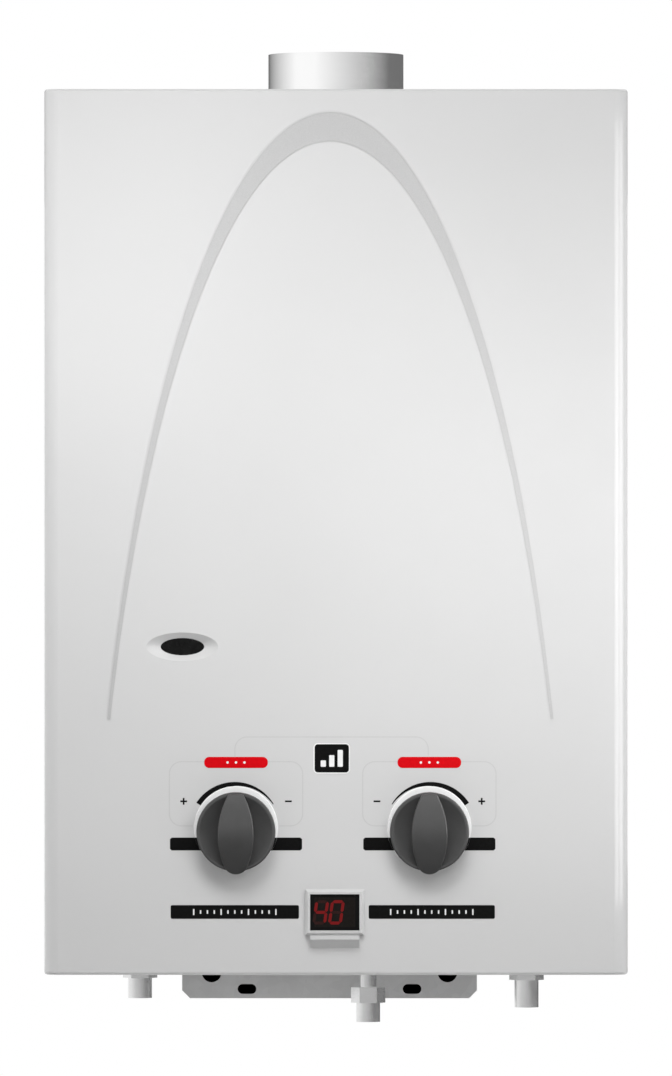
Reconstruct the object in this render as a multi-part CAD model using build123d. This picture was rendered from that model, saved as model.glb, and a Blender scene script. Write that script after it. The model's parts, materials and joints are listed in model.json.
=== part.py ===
from build123d import *
import math
import os

# Wall-hung gas water heater with an open flue, in millimetres.
# The origin is the middle of the back panel's rear face, which lies on the wall.
# +Z is up, the front faces -Y, and +X is to the right for someone facing the heater.

# Casing sheet
CASE_W = 290.0
CASE_H = 440.0
CASE_D = 125.0
SHEET = 0.8
SIDE_BEND_IN = 6.2  # inner radius of the cover's upright front edges
EDGE_BEND_IN = 0.7  # inner radius of the cover's top and bottom edges
COVER_SETBACK = 1.0  # from the wall to the cover's rear edge
LIP = 10.0  # return lips under the cover
FLANGE = 14.0  # folded edges of the back panel and the bottom plate
FIT = 0.4  # gap between pieces that slide or slip together
RUN = 0.05  # radial clearance of a shaft in its bore
CUT = 2.0  # how far a cutting body reaches past a face

# Louvres in the cover's sides and air slots in the bottom plate
LOUVRE_COUNT = 6
LOUVRE_L = 64.0
LOUVRE_H = 3.0
LOUVRE_PITCH = 10.0
LOUVRE_DROP = 36.0  # from the casing's top to the first louvre
SLOT_COUNT = 9
SLOT_L = 18.0
SLOT_W = 4.0
SLOT_PITCH = 10.0
SLOT_INSET = 24.0  # from the casing's side to the middle of a slot

# Wall tab under the casing, and the hanging holes near the top
TAB_W = 150.0
TAB_X = -3.3
TAB_DROP = 17.2
TAB_CHAMFER = 4.0
TAB_SLOT_INSET = 33.0  # from the tab's end to a slot's middle
TAB_SLOT_L = 9.5
TAB_SLOT_R = 2.5
TAB_SLOT_UP = 4.7  # from the tab's lower edge to the slots
TAB_HOLE_INSET = 15.0  # from the tab's end to a hole's middle
TAB_HOLE_R = 5.0
TAB_HOLE_DROP = 4.1  # from the casing's bottom to the holes
KEYHOLE_SPAN = 120.0
KEYHOLE_DROP = 40.0
KEYHOLE_R = 5.5
KEYHOLE_NECK_R = 2.75
KEYHOLE_RISE = 11.0

# Arch band on the front: an ellipse and the same ellipse moved down
ARCH_X = -2.8
ARCH_DROP = 11.8  # from the casing's top to the band's crown
ARCH_HALF_W = 120.4
ARCH_HALF_H = 495.0
ARCH_BAND = 13.9
ARCH_LENGTH = 301.0  # from the crown down to the feet
ARCH_T = 0.6

# Sight window
SIGHT_X = -76.3
SIGHT_UP = 163.0  # from the casing's bottom to the window's middle
SIGHT_HALF_W = 10.8
SIGHT_HALF_H = 4.3
DISH_RIM_W = 7.0  # how much wider than the window its pressed dish is, at each end
DISH_RIM_H = 2.85
DISH_DEPTH = 3.0
GLASS_T = 1.0
GLASS_LAP = 2.4
FRAME_T = 1.6

# Knobs and their rings
CONTROL_X = -1.65  # middle of the two knobs
KNOB_SPAN = 96.0
KNOB_UP = 71.3
KNOB_R = 19.6
KNOB_H = 16.0
KNOB_SKIRT = 8.5
KNOB_DISH = 5.0
KNOB_GAP = 1.2  # from the cover to the knob's back
KNOB_BORE_L = 12.0
GRIP_TOP_HALF = 3.8
GRIP_MID_HALF = 8.9
GRIP_MID_DROP = 1.5  # from the knob's axis down to the grip's widest place
GRIP_FOOT_HALF = 5.4
GRIP_NOSE = 1.5  # how far the grip's foot stands past the skirt
GRIP_BASE = 2.5
GRIP_CROWN_R = 34.0
GRIP_CROWN_UP = 2.0  # from the knob's axis up to the grip's highest place
GRIP_EDGE = 0.8
RING_LAP = 1.3  # how much larger than its knob a ring is
RING_UP = 1.6  # how far a ring sits above its knob's axis
RING_W = 7.0
RING_T = 0.8
SPINDLE_R = 4.0
SPINDLE_ROOM = 2.5
SPINDLE_FLAT = 1.2
SPINDLE_SEAT = 28.0  # how deep a spindle sits in its valve

# Display
DISPLAY_X = -0.6
DISPLAY_UP = 31.2
SCREEN_W = 24.5
SCREEN_H = 18.0
BEZEL_RIM = 2.4
BEZEL_OUT = 3.0
BEZEL_SLEEVE = 5.0
BEZEL_WALL = 0.8
SILL_W = 24.4
SILL_H = 2.0
SILL_OUT = 4.6
SILL_DROP = 4.4  # how far the sill's sloping underside runs down the cover
LENS_T = 1.5
LENS_SINK = 0.8
BOARD_W = 42.0
BOARD_H = 30.0
BOARD_T = 1.6

# Flue, chamber and heat exchanger
FRONT_ROOM = 25.0  # from the casing's front to the chamber
BACK_ROOM = 16.0  # from the wall to the chamber
SIDE_ROOM = 55.0  # from the casing's side to the chamber
COLLAR_R = 34.0
COLLAR_RISE = 20.0
COLLAR_ROOT = 1.0  # how far the collar's belled root stands above the casing's top
COLLAR_GAP = 2.0
COLLAR_FLANGE = 7.0
HOOD_DROP = 14.0  # from the casing's top to the hood's top
HOOD_H = 76.0
HOOD_UPRIGHT = 18.0
HOOD_SHOULDER = 12.0  # how much wider than the collar the hood's top is
CHAMBER_WALL = 1.0
FIN_H = 46.0
FIN_T = 0.6
FIN_PITCH = 6.0
FIN_GAP = 0.1
PASS_COUNT = 5
PASS_PITCH = 16.0
TUBE_R = 5.0
TUBE_BORE = 4.2
TUBE_STUB = 10.0  # how far the tube's ends stand out of the chamber
TURN_OUT = 16.0  # how far its return bends stand out
TURN_SLACK = 0.2
COIL_RISE = 34.0  # from the chamber's foot to the coil, and from turn to turn
COIL_CORNERS = 7
COIL_BEND = 12.0
COIL_EXIT_BEND = 7.0
BRACKET_T = 1.2
BRACKET_W = 30.0
BRACKET_H = 22.0
BRACKET_X = 55.0

# Burner and gas manifold
BURNER_DROP = 5.0  # from the sight window's middle to the burner's top
FLAME_GAP = 2.0
BLADE_T = 8.0
BLADE_H = 48.0
BLADE_PITCH = 15.0
BLADE_SETBACK = 4.0
BLADE_END = 14.0  # from the chamber's side to the first blade's middle
BLADE_PORTS = 9
PORT_W = 1.4
PORT_DEPTH = 3.0
VENTURI_R = 2.8
VENTURI_L = 30.0
JET_DROP = 38.0
RACK_WALL = 1.2
RACK_LEDGE = 13.0
MANIFOLD_D = 12.0
MANIFOLD_GAP = 4.0
MANIFOLD_BORE = 4.0
JET_R = 2.4
JET_TIP = 2.0
JET_BORE = 0.6

# Electrodes and igniter
ELECTRODE_SPAN = 20.0
ELECTRODE_MARGIN = 9.0  # from an electrode's axis to the bracket's edge
ELECTRODE_UP = 9.0  # above the sight window's middle
CERAMIC_R = 3.0
CERAMIC_COLLAR_R = 4.5
CERAMIC_COLLAR_L = 3.0
CERAMIC_OUT = 14.0
CERAMIC_IN = 6.0
TIP_R = 0.9
TIP_L = 14.0
BOOT_R = 4.2
BOOT_L = 6.0
LEAD_R = 1.4
LEAD_BEND = 18.0
LEAD_OFF = 2.0  # drop of the second lead below its boot
LEAD_DROP = 14.0
IGNITER_W = 37.0
IGNITER_D = 34.0
IGNITER_H = 70.0
IGNITER_SIDE = 4.0
LEAD_INSET = 8.0

# Valves
ROD_IN = 43.0  # from the casing's front to the push rod's axis
VALVE_IN = 22.0  # from the casing's front to the valve bodies
BOSS_R = 11.0
BOSS_L = 6.0
GAS_HALF_H = 24.0
GAS_WIDE = 28.0  # from the gas knob's axis to the body's left end
GAS_BACK = 10.0  # from the gas inlet's axis to the body's rear
WATER_HALF_H = 18.0
WATER_BACK = 21.0
WATER_NECK = 6.0  # from the water knob's axis back to the diaphragm flange
DIAPHRAGM_R = 26.0
DIAPHRAGM_T = 2.0
FLANGE_T = 6.0
COVER_L = 12.0
COVER_WALL = 2.0
CHAMBER_R = 19.0
BOLT_R = 1.8
BOLT_HEAD_R = 3.2
BOLT_HEAD_H = 2.4
BOLT_COUNT = 6
ROD_R = 3.0
ROD_COLLAR_R = 5.5
ROD_COLLAR_T = 2.0
ROD_COLLAR_AT = 12.0  # from the gas valve's face
PLATE_R = 15.0
PLATE_T = 1.3
PLATE_GAP = 0.3
POPPET_R = 8.0
POPPET_T = 2.6
POPPET_BORE_R = 10.0
POPPET_BORE_L = 17.0
POPPET_WALL = 7.0
SPRING_R = 5.6
SPRING_WIRE = 0.5
SPRING_TURNS = 5
SPACER_R = 3.5
SPACER_OFF = 13.0
SWITCH_L = 16.0
SWITCH_W = 10.0
SWITCH_H = 5.0
SWITCH_DROP = 18.5
EAR_T = 1.5
EAR_R = 2.0
PIVOT_UP = 1.5
PIVOT_R = 1.0
LEVER_T = 1.0
LEVER_W = 5.0
LEVER_GAP = 0.5
PORT_R = 4.2
PORT_L = 14.0
OUTLET_UP = 8.0
OUTLET_RUN = 24.6  # from the water valve's outlet across to the riser
PIPE_BEND = 12.0

# Pipe ends below the casing
STUB_R = 6.0
STUB_BORE = 4.2
NECK_R = 6.5  # where a fitting passes through its lock nut and the bottom plate
STUB_UP = 14.0  # how far a fitting stands up inside the casing
STUB_FLANGE_R = 9.0
STUB_FLANGE_T = 3.0
NUT_FLATS = 15.0
LOCK_NUT_H = 5.0
HOT_OFF = 98.6  # hot outlet's axis, left of the middle
HOT_DROP = 14.3
HOT_RISER_INSET = 21.0
HOT_JOG = 22.0
HOT_JOG_UP = 48.0
COLD_OFF = 95.4  # cold inlet's axis, right of the middle
COLD_DROP = 17.9
COLD_ELBOW = 11.0
COLD_BEND = 9.0
GAS_X = 16.2
GAS_IN = 77.0  # from the casing's front to the gas inlet's axis
GAS_DROP = 26.8
GAS_ELBOW = 18.2
GAS_PIPE_R = 4.3
GAS_PIPE_BORE = 3.3
GAS_BEND = 10.0
GAS_BEAD = 1.6
UNION_DROP = 13.4
UNION_NUT_UP = 4.0
UNION_NUT_H = 7.8
FEED_OFF = 10.0
FEED_BACK = 13.0
FEED_BEND = 7.0
FEED_RISE = 8.0
PROBE_UP = 24.0
PROBE_H = 9.0
PROBE_T = 2.2
CUTOUT_X = 45.0
CUTOUT_R = 8.5
CUTOUT_H = 8.0
CUTOUT_EAR = 13.6
CUTOUT_DROP = 55.0

# Drain plug under the water valve
DRAIN_IN = 18.0  # from the water valve's right end to the plug's axis
DRAIN_R = 5.5
DRAIN_SEAT = 11.0
DRAIN_NECK = 9.0
DRAIN_SHAFT_R = 4.0
DRAIN_HEAD_R = 8.0
DRAIN_HEAD_H = 11.0
DRAIN_SLOT = 2.0
DRAIN_ROOM = 1.5

# Battery box
CELL_R = 17.1
CELL_L = 61.5
CELL_NUB_R = 4.8
CELL_NUB_H = 1.5
CELL_GAP = 0.8
CONTACT_ROOM = 5.0
CONTACT_T = 0.6
CONTACT_SIZE = 16.0
BOX_WALL = 1.8
BOX_OFF = 13.0  # from the gas inlet's axis to the box
BOX_BACK = 26.0  # from the wall to the box
DOOR_T = 1.6
HINGE_R = 1.6
HINGE_PIN_R = 1.0
HINGE_IN = 2.2
HINGE_EAR = 2.0
HINGE_EAR_UP = 6.0
LATCH_W = 16.0
LATCH_T = 1.2
LATCH_H = 3.4
GRIP_GROOVES = 4
GROOVE_PITCH = 3.0
GROOVE_W = 1.0
GROOVE_DEPTH = 0.5

# Cover screws
SCREW_R = 1.5
SCREW_HEAD_R = 3.2
SCREW_HEAD_H = 1.8
SCREW_L = 6.0
SCREW_INSET = 6.0
SCREW_BACK = 24.0

# Planes and axes that follow from the sizes
LEFT = -CASE_W / 2
RIGHT = CASE_W / 2
TOP = CASE_H / 2
BOTTOM = -CASE_H / 2
FRONT = -CASE_D
FRONT_IN = FRONT + SHEET
PLATE_Z0 = BOTTOM + SHEET
PLATE_Z1 = PLATE_Z0 + SHEET
PANEL_HALF = CASE_W / 2 - SHEET - FIT
PANEL_TOP = TOP - SHEET - FIT
TAB_Z0 = BOTTOM - TAB_DROP

SIGHT_Z = BOTTOM + SIGHT_UP
KNOB_Z = BOTTOM + KNOB_UP
GAS_KNOB_X = CONTROL_X - KNOB_SPAN / 2
WATER_KNOB_X = CONTROL_X + KNOB_SPAN / 2
KNOB_BACK = FRONT - KNOB_GAP
DISPLAY_Z = BOTTOM + DISPLAY_UP

CH_HALF = CASE_W / 2 - SIDE_ROOM
CH_Y0 = FRONT + FRONT_ROOM
CH_Y1 = -BACK_ROOM
STACK_Y = (CH_Y0 + CH_Y1) / 2
HOOD_TOP = TOP - HOOD_DROP
CH_TOP = HOOD_TOP - HOOD_H
BURNER_TOP = SIGHT_Z - BURNER_DROP
CH_FOOT = BURNER_TOP + FLAME_GAP
HX_Z = CH_TOP - FIN_H / 2
PASS_Y = [STACK_Y + (i - (PASS_COUNT - 1) / 2) * PASS_PITCH for i in range(PASS_COUNT)]
TUBE_END = CH_HALF + TUBE_STUB

RACK_Z0 = BURNER_TOP - BLADE_H - RACK_WALL
JET_Z = BURNER_TOP - JET_DROP
MANIFOLD_Y1 = CH_Y0 - MANIFOLD_GAP
MANIFOLD_Y0 = MANIFOLD_Y1 - MANIFOLD_D
MANIFOLD_Y = (MANIFOLD_Y0 + MANIFOLD_Y1) / 2
BLADE_COUNT = int((2 * CH_HALF - 2 * BLADE_END) // BLADE_PITCH) + 1
BLADE_X = [(i - (BLADE_COUNT - 1) / 2) * BLADE_PITCH for i in range(BLADE_COUNT)]

ELECTRODE_Z = SIGHT_Z + ELECTRODE_UP
ELECTRODE_X = [-ELECTRODE_SPAN / 2, ELECTRODE_SPAN / 2]
CERAMIC_Y0 = CH_Y0 - CERAMIC_OUT
LEAD_Y = CERAMIC_Y0 - BOOT_L / 2
IGNITER_X0 = LEFT + SHEET + IGNITER_SIDE
IGNITER_X1 = IGNITER_X0 + IGNITER_W
IGNITER_Y0 = -SHEET - IGNITER_D
LEAD_X = IGNITER_X1 - LEAD_INSET

ROD_Y = FRONT + ROD_IN
VALVE_Y0 = FRONT + VALVE_IN
GAS_Y = FRONT + GAS_IN
GAS_FACE = GAS_X - GAS_ELBOW
GAS_BODY_Y1 = GAS_Y + GAS_BACK
FLANGE_X1 = WATER_KNOB_X - WATER_NECK
FLANGE_X0 = FLANGE_X1 - FLANGE_T
DIAPHRAGM_X0 = FLANGE_X0 - DIAPHRAGM_T
COVER_X0 = DIAPHRAGM_X0 - COVER_L
PLATE_X1 = DIAPHRAGM_X0 - PLATE_GAP
POPPET_BORE_X1 = GAS_FACE - POPPET_WALL
POPPET_BORE_X0 = POPPET_BORE_X1 - POPPET_BORE_L
POPPET_X1 = POPPET_BORE_X1 - FIT
POPPET_X0 = POPPET_X1 - POPPET_T
COLLAR_X = GAS_FACE + ROD_COLLAR_AT
PIVOT_X = COLLAR_X - LEVER_GAP - LEVER_T / 2
SWITCH_Z1 = KNOB_Z - SWITCH_DROP
PIVOT_Z = SWITCH_Z1 + PIVOT_UP
WATER_Y1 = ROD_Y + WATER_BACK

HOT_X = -HOT_OFF
HOT_RISER_X = LEFT + HOT_RISER_INSET
COLD_X = COLD_OFF
WATER_X1 = COLD_X - COLD_ELBOW
DRAIN_X = WATER_X1 - DRAIN_IN
STUB_TOP = BOTTOM + STUB_UP
UNION_Z = BOTTOM - UNION_DROP
UNION_NUT_Z0 = UNION_Z + UNION_NUT_UP - UNION_NUT_H
FEED_X = GAS_KNOB_X + FEED_OFF
FEED_Y = VALVE_Y0 + FEED_BACK
COIL_X = CH_HALF + TUBE_R + FIT
COIL_Y0 = CH_Y0 - TUBE_R - FIT
COIL_Y1 = CH_Y1 + TUBE_R + FIT
OUTLET_X = COIL_X - OUTLET_RUN
RISER_X = CH_HALF + TUBE_STUB + TUBE_R + COIL_EXIT_BEND / 2

BAY_X1 = GAS_X - BOX_OFF - BOX_WALL
BAY_X0 = BAY_X1 - CELL_L - 2 * CONTACT_ROOM
BAY_Y1 = -BOX_BACK - BOX_WALL
BAY_Y0 = BAY_Y1 - 4 * CELL_R - 3 * CELL_GAP
CELL_Z = PLATE_Z1 + CELL_GAP + CELL_R
CELL_Y = [BAY_Y0 + CELL_GAP + CELL_R, BAY_Y1 - CELL_GAP - CELL_R]
CELL_X0 = BAY_X0 + CONTACT_ROOM
BAY_TOP = CELL_Z + CELL_R + CELL_GAP
HINGE_Y = BAY_Y1 - HINGE_IN
HINGE_Z = BOTTOM + HINGE_R


def block(x0, x1, y0, y1, z0, z1):
    """Box between two corners."""
    return Pos((x0 + x1) / 2, (y0 + y1) / 2, (z0 + z1) / 2) * Box(x1 - x0, y1 - y0, z1 - z0)


def bar_x(radius, x0, x1, y, z):
    """Round bar along X."""
    return Pos((x0 + x1) / 2, y, z) * Rot(0, 90, 0) * Cylinder(radius, x1 - x0)


def bar_y(radius, x, y0, y1, z):
    """Round bar along Y."""
    return Pos(x, (y0 + y1) / 2, z) * Rot(90, 0, 0) * Cylinder(radius, y1 - y0)


def bar_z(radius, x, y, z0, z1):
    """Round bar along Z."""
    return Pos(x, y, (z0 + z1) / 2) * Cylinder(radius, z1 - z0)


def facing(y, x=0.0, z=0.0):
    """Plane that faces the viewer at depth y, with its middle at x, z."""
    return Plane(origin=(x, y, z), x_dir=(1, 0, 0), z_dir=(0, -1, 0))


def pipe(points, bend, radius, bore):
    """Bent tube of straight runs and tangent arcs."""
    path = FilletPolyline(*points, radius=bend)
    section = Plane(origin=path @ 0, z_dir=path % 0) * (Circle(radius) - Circle(bore))
    return sweep(section, path=path)


def lead(points, bend):
    """Round insulated wire along straight runs and tangent arcs."""
    path = FilletPolyline(*points, radius=bend)
    section = Plane(origin=path @ 0, z_dir=path % 0) * Circle(LEAD_R)
    return sweep(section, path=path)


def hex_nut(x, y, z0, z1, bore):
    """Hexagon nut with a plain bore."""
    sketch = RegularPolygon(NUT_FLATS / 2, 6, major_radius=False) - Circle(bore)
    return Pos(x, y, z0) * extrude(sketch, amount=z1 - z0)


def channel(x, y0, y1, z, width, height):
    """Folded strip that reaches back from a plate at y0 to a plate at y1."""
    half = width / 2
    top = z + height / 2
    foot = z - height / 2
    front = block(x - half, x + half, y0, y0 + BRACKET_T, foot, top)
    web = block(x - half, x + half, y0, y1, top - BRACKET_T, top)
    rear = block(x - half, x + half, y1 - BRACKET_T, y1, foot, top)
    return front + web + rear


def bent_box(inset, rear):
    """The casing's block with its front edges rolled, shrunk by inset all round but at the rear."""
    body = block(LEFT + inset, RIGHT - inset, FRONT + inset, rear, BOTTOM + inset, TOP - inset)
    uprights = body.edges().filter_by(Axis.Z).sort_by(Axis.Y)[:2]
    body = fillet(uprights, SIDE_BEND_IN + SHEET - inset)
    faces = body.faces().sort_by(Axis.Z)
    rims = faces[0].edges().sort_by(Axis.Y)[:-1] + faces[-1].edges().sort_by(Axis.Y)[:-1]
    return fillet(rims, EDGE_BEND_IN + SHEET - inset)


def front_cover():
    """White sheet cover: front, sides, top and short lips below, with every hole of the front."""
    cover = bent_box(0.0, -COVER_SETBACK) - bent_box(SHEET, -COVER_SETBACK + CUT)
    cover -= block(LEFT + LIP, RIGHT - LIP, FRONT + LIP, 0, BOTTOM - CUT, PLATE_Z0 + CUT)
    flue_r = COLLAR_R + COLLAR_GAP
    cover -= bar_z(flue_r, 0, STACK_Y, TOP - CUT, TOP + CUT)
    cover -= block(-flue_r, flue_r, STACK_Y, 0, TOP - CUT, TOP + CUT)
    for i in range(LOUVRE_COUNT):
        z = TOP - LOUVRE_DROP - i * LOUVRE_PITCH
        y0 = STACK_Y - LOUVRE_L / 2
        cover -= block(LEFT - CUT, RIGHT + CUT, y0, y0 + LOUVRE_L, z - LOUVRE_H / 2, z + LOUVRE_H / 2)
    for x in (GAS_KNOB_X, WATER_KNOB_X):
        cover -= bar_y(SPINDLE_R + SPINDLE_ROOM, x, FRONT - CUT, FRONT + CUT, KNOB_Z)
    half_w = SCREEN_W / 2 + BEZEL_WALL + FIT
    half_h = SCREEN_H / 2 + BEZEL_WALL + FIT
    cover -= block(DISPLAY_X - half_w, DISPLAY_X + half_w, FRONT - CUT, FRONT + CUT,
                   DISPLAY_Z - half_h, DISPLAY_Z + half_h)
    for x in (LEFT + SCREW_INSET, RIGHT - SCREW_INSET):
        cover -= bar_z(SCREW_R + FIT, x, -SCREW_BACK, BOTTOM - CUT, PLATE_Z0 + CUT)
    cover += sight_cone(SHEET)
    return cover - sight_cone(0.0)


def sight_cone(grow):
    """Tapered oval of the dish pressed round the sight window."""
    wide = Ellipse(SIGHT_HALF_W + DISH_RIM_W + grow, SIGHT_HALF_H + DISH_RIM_H + grow)
    narrow = Ellipse(SIGHT_HALF_W + grow, SIGHT_HALF_H + grow)
    rim = facing(FRONT, SIGHT_X, SIGHT_Z) * wide
    floor = facing(FRONT + DISH_DEPTH, SIGHT_X, SIGHT_Z) * narrow
    return loft([rim, floor])


def back_panel():
    """Galvanised tray on the wall: keyholes, tab below, and a tongue that closes the cover's flue slot."""
    panel = block(-PANEL_HALF, PANEL_HALF, -SHEET, 0, PLATE_Z0, PANEL_TOP)
    tab = block(TAB_X - TAB_W / 2, TAB_X + TAB_W / 2, -SHEET, 0, TAB_Z0, PLATE_Z0)
    corners = tab.edges().filter_by(Axis.Y).sort_by(Axis.Z)[:2]
    panel += chamfer(corners, TAB_CHAMFER)
    foot = PLATE_Z1 + FIT
    for x in (-PANEL_HALF, PANEL_HALF - SHEET):
        panel += block(x, x + SHEET, -FLANGE, 0, foot, PANEL_TOP)
    panel += block(-PANEL_HALF, PANEL_HALF, -FLANGE, 0, PANEL_TOP - SHEET, PANEL_TOP)
    flue_r = COLLAR_R + COLLAR_GAP
    tongue = flue_r + FLANGE
    panel += block(-tongue, tongue, STACK_Y, 0, PANEL_TOP - SHEET, PANEL_TOP)
    panel -= bar_z(flue_r, 0, STACK_Y, PANEL_TOP - CUT, PANEL_TOP + CUT)
    for side in (-1, 1):
        slot = facing(CUT, TAB_X + side * (TAB_W / 2 - TAB_SLOT_INSET), TAB_Z0 + TAB_SLOT_UP)
        panel -= extrude(slot * SlotOverall(TAB_SLOT_L, 2 * TAB_SLOT_R), amount=2 * CUT + SHEET)
        x = TAB_X + side * (TAB_W / 2 - TAB_HOLE_INSET)
        panel -= bar_y(TAB_HOLE_R, x, -CUT, CUT, BOTTOM - TAB_HOLE_DROP)
        panel -= keyhole(side * KEYHOLE_SPAN / 2)
    return panel


def keyhole(x):
    """Round entry with a narrow neck above it, cut through the back panel."""
    z = TOP - KEYHOLE_DROP
    neck = block(x - KEYHOLE_NECK_R, x + KEYHOLE_NECK_R, -CUT, CUT, z, z + KEYHOLE_RISE)
    end = bar_y(KEYHOLE_NECK_R, x, -CUT, CUT, z + KEYHOLE_RISE)
    return bar_y(KEYHOLE_R, x, -CUT, CUT, z) + neck + end


def bottom_plate():
    """Sheet that closes the casing below, with air slots and holes for the pipes, drain and battery door."""
    inset = SHEET + EDGE_BEND_IN + FIT
    plate = block(LEFT + inset, RIGHT - inset, FRONT + inset, -SHEET, PLATE_Z0, PLATE_Z1)
    plate = fillet(plate.edges().filter_by(Axis.Z).sort_by(Axis.Y)[:2], SIDE_BEND_IN)
    half = PANEL_HALF - SHEET - FIT
    plate += block(-half, half, -2 * SHEET, -SHEET, PLATE_Z0, PLATE_Z1 + FLANGE)
    for x, y, radius in ((HOT_X, STACK_Y, NECK_R), (COLD_X, ROD_Y, NECK_R), (GAS_X, GAS_Y, GAS_PIPE_R),
                         (DRAIN_X, ROD_Y, DRAIN_HEAD_R + DRAIN_ROOM)):
        plate -= bar_z(radius + FIT, x, y, PLATE_Z0 - CUT, PLATE_Z1 + CUT)
    plate -= block(BAY_X0 - FIT, BAY_X1 + FIT, BAY_Y0 - FIT, BAY_Y1 + FIT, PLATE_Z0 - CUT, PLATE_Z1 + CUT)
    for i in range(SLOT_COUNT):
        y = STACK_Y + (i - (SLOT_COUNT - 1) / 2) * SLOT_PITCH
        for x in (LEFT + SLOT_INSET, RIGHT - SLOT_INSET):
            slot = Pos(x, y, PLATE_Z0 - CUT) * SlotOverall(SLOT_L, SLOT_W)
            plate -= extrude(slot, amount=2 * CUT + SHEET)
    for x in (LEFT + SCREW_INSET, RIGHT - SCREW_INSET):
        plate -= bar_z(SCREW_R + RUN, x, -SCREW_BACK, PLATE_Z0 - CUT, PLATE_Z1 + CUT)
    return plate


def cover_screws():
    """Two pan-head screws that hold the cover's side lips to the bottom plate."""
    screws = []
    for x in (LEFT + SCREW_INSET, RIGHT - SCREW_INSET):
        head = bar_z(SCREW_HEAD_R, x, -SCREW_BACK, BOTTOM - SCREW_HEAD_H, BOTTOM)
        head = fillet(head.edges().sort_by(Axis.Z)[0], SCREW_HEAD_H / 2)
        screws.append(head + bar_z(SCREW_R, x, -SCREW_BACK, BOTTOM, BOTTOM + SCREW_L))
    return Compound(screws)


def arch_trim():
    """Crescent band on the front: two equal ellipses, one below the other, cut off at the feet."""
    crown = TOP - ARCH_DROP
    outer = Pos(ARCH_X, crown - ARCH_HALF_H) * Ellipse(ARCH_HALF_W, ARCH_HALF_H)
    inner = Pos(ARCH_X, crown - ARCH_BAND - ARCH_HALF_H) * Ellipse(ARCH_HALF_W, ARCH_HALF_H)
    window = Pos(ARCH_X, crown - ARCH_LENGTH / 2) * Rectangle(2 * ARCH_HALF_W + CUT, ARCH_LENGTH)
    band = (outer - inner) & window
    return extrude(facing(FRONT) * band, amount=ARCH_T)


def sight_glass():
    """Oval mica pane behind the sight window."""
    pane = facing(FRONT + DISH_DEPTH, SIGHT_X, SIGHT_Z)
    pane *= Ellipse(SIGHT_HALF_W + GLASS_LAP, SIGHT_HALF_H + GLASS_LAP)
    return extrude(pane, amount=-GLASS_T)


def sight_frame():
    """Oval cup behind the cover that traps the pane against the dish."""
    in_w = SIGHT_HALF_W + DISH_RIM_W + SHEET + FIT
    in_h = SIGHT_HALF_H + DISH_RIM_H + SHEET + FIT
    rear = FRONT + DISH_DEPTH + GLASS_T
    cup = facing(FRONT_IN, SIGHT_X, SIGHT_Z) * Ellipse(in_w + FRAME_T, in_h + FRAME_T)
    cup = extrude(cup, amount=FRONT_IN - rear - FRAME_T)
    cavity = facing(FRONT_IN, SIGHT_X, SIGHT_Z) * Ellipse(in_w, in_h)
    cup -= extrude(cavity, amount=FRONT_IN - rear)
    window = facing(rear - CUT, SIGHT_X, SIGHT_Z) * Ellipse(SIGHT_HALF_W, SIGHT_HALF_H)
    return cup - extrude(window, amount=-2 * CUT - FRAME_T)


def knob_rings():
    """Two flat rings on the cover, one behind each knob and set a little high, so they show above it."""
    rings = []
    for x in (GAS_KNOB_X, WATER_KNOB_X):
        outer = KNOB_R + RING_LAP
        ring = Circle(outer) - Circle(outer - RING_W)
        solid = extrude(facing(FRONT, x, KNOB_Z + RING_UP) * ring, amount=RING_T)
        rings.append(chamfer(solid.faces().sort_by(Axis.Y)[0].edges(), RING_T / 2))
    return Compound(rings)


def grip_outline():
    """Boat-shaped outline of a knob's grip, narrow at its ends and wide in the middle."""
    reach = KNOB_R - GRIP_EDGE
    top = math.sqrt(reach**2 - GRIP_TOP_HALF**2)
    foot = -math.sqrt(reach**2 - GRIP_FOOT_HALF**2)
    left = ThreePointArc((-GRIP_TOP_HALF, top), (-GRIP_MID_HALF, -GRIP_MID_DROP), (-GRIP_FOOT_HALF, foot))
    nose = ThreePointArc((-GRIP_FOOT_HALF, foot), (0, -KNOB_R - GRIP_NOSE), (GRIP_FOOT_HALF, foot))
    right = ThreePointArc((GRIP_FOOT_HALF, foot), (GRIP_MID_HALF, -GRIP_MID_DROP), (GRIP_TOP_HALF, top))
    brow = ThreePointArc((GRIP_TOP_HALF, top), (0, reach), (-GRIP_TOP_HALF, top))
    return make_face([left, nose, right, brow])


def knob(x):
    """Round dished skirt with a tall crowned grip across it, bored for its spindle."""
    skirt = Pos(0, 0, KNOB_SKIRT / 2) * Cylinder(KNOB_R, KNOB_SKIRT)
    skirt = fillet(skirt.edges().sort_by(Axis.Z)[-1], GRIP_EDGE)
    dish_r = (KNOB_R**2 + KNOB_DISH**2) / (2 * KNOB_DISH)
    skirt -= Pos(0, 0, KNOB_SKIRT - KNOB_DISH + dish_r + GRIP_EDGE) * Rot(90, 0, 0) * Sphere(dish_r)
    grip = extrude(Pos(0, 0, GRIP_BASE) * grip_outline(), amount=KNOB_H - GRIP_BASE)
    crown = Pos(0, GRIP_CROWN_UP, KNOB_H - GRIP_CROWN_R) * Rot(0, 90, 0) * Cylinder(GRIP_CROWN_R, 4 * KNOB_R)
    grip &= crown
    top = grip.faces().sort_by(Axis.Z)[-1]
    grip = fillet(top.edges(), GRIP_EDGE)
    body = skirt + grip
    body -= Pos(0, 0, KNOB_BORE_L / 2) * Cylinder(SPINDLE_R + RUN, KNOB_BORE_L)
    return Pos(x, KNOB_BACK, KNOB_Z) * Rot(90, 0, 0) * body


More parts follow.
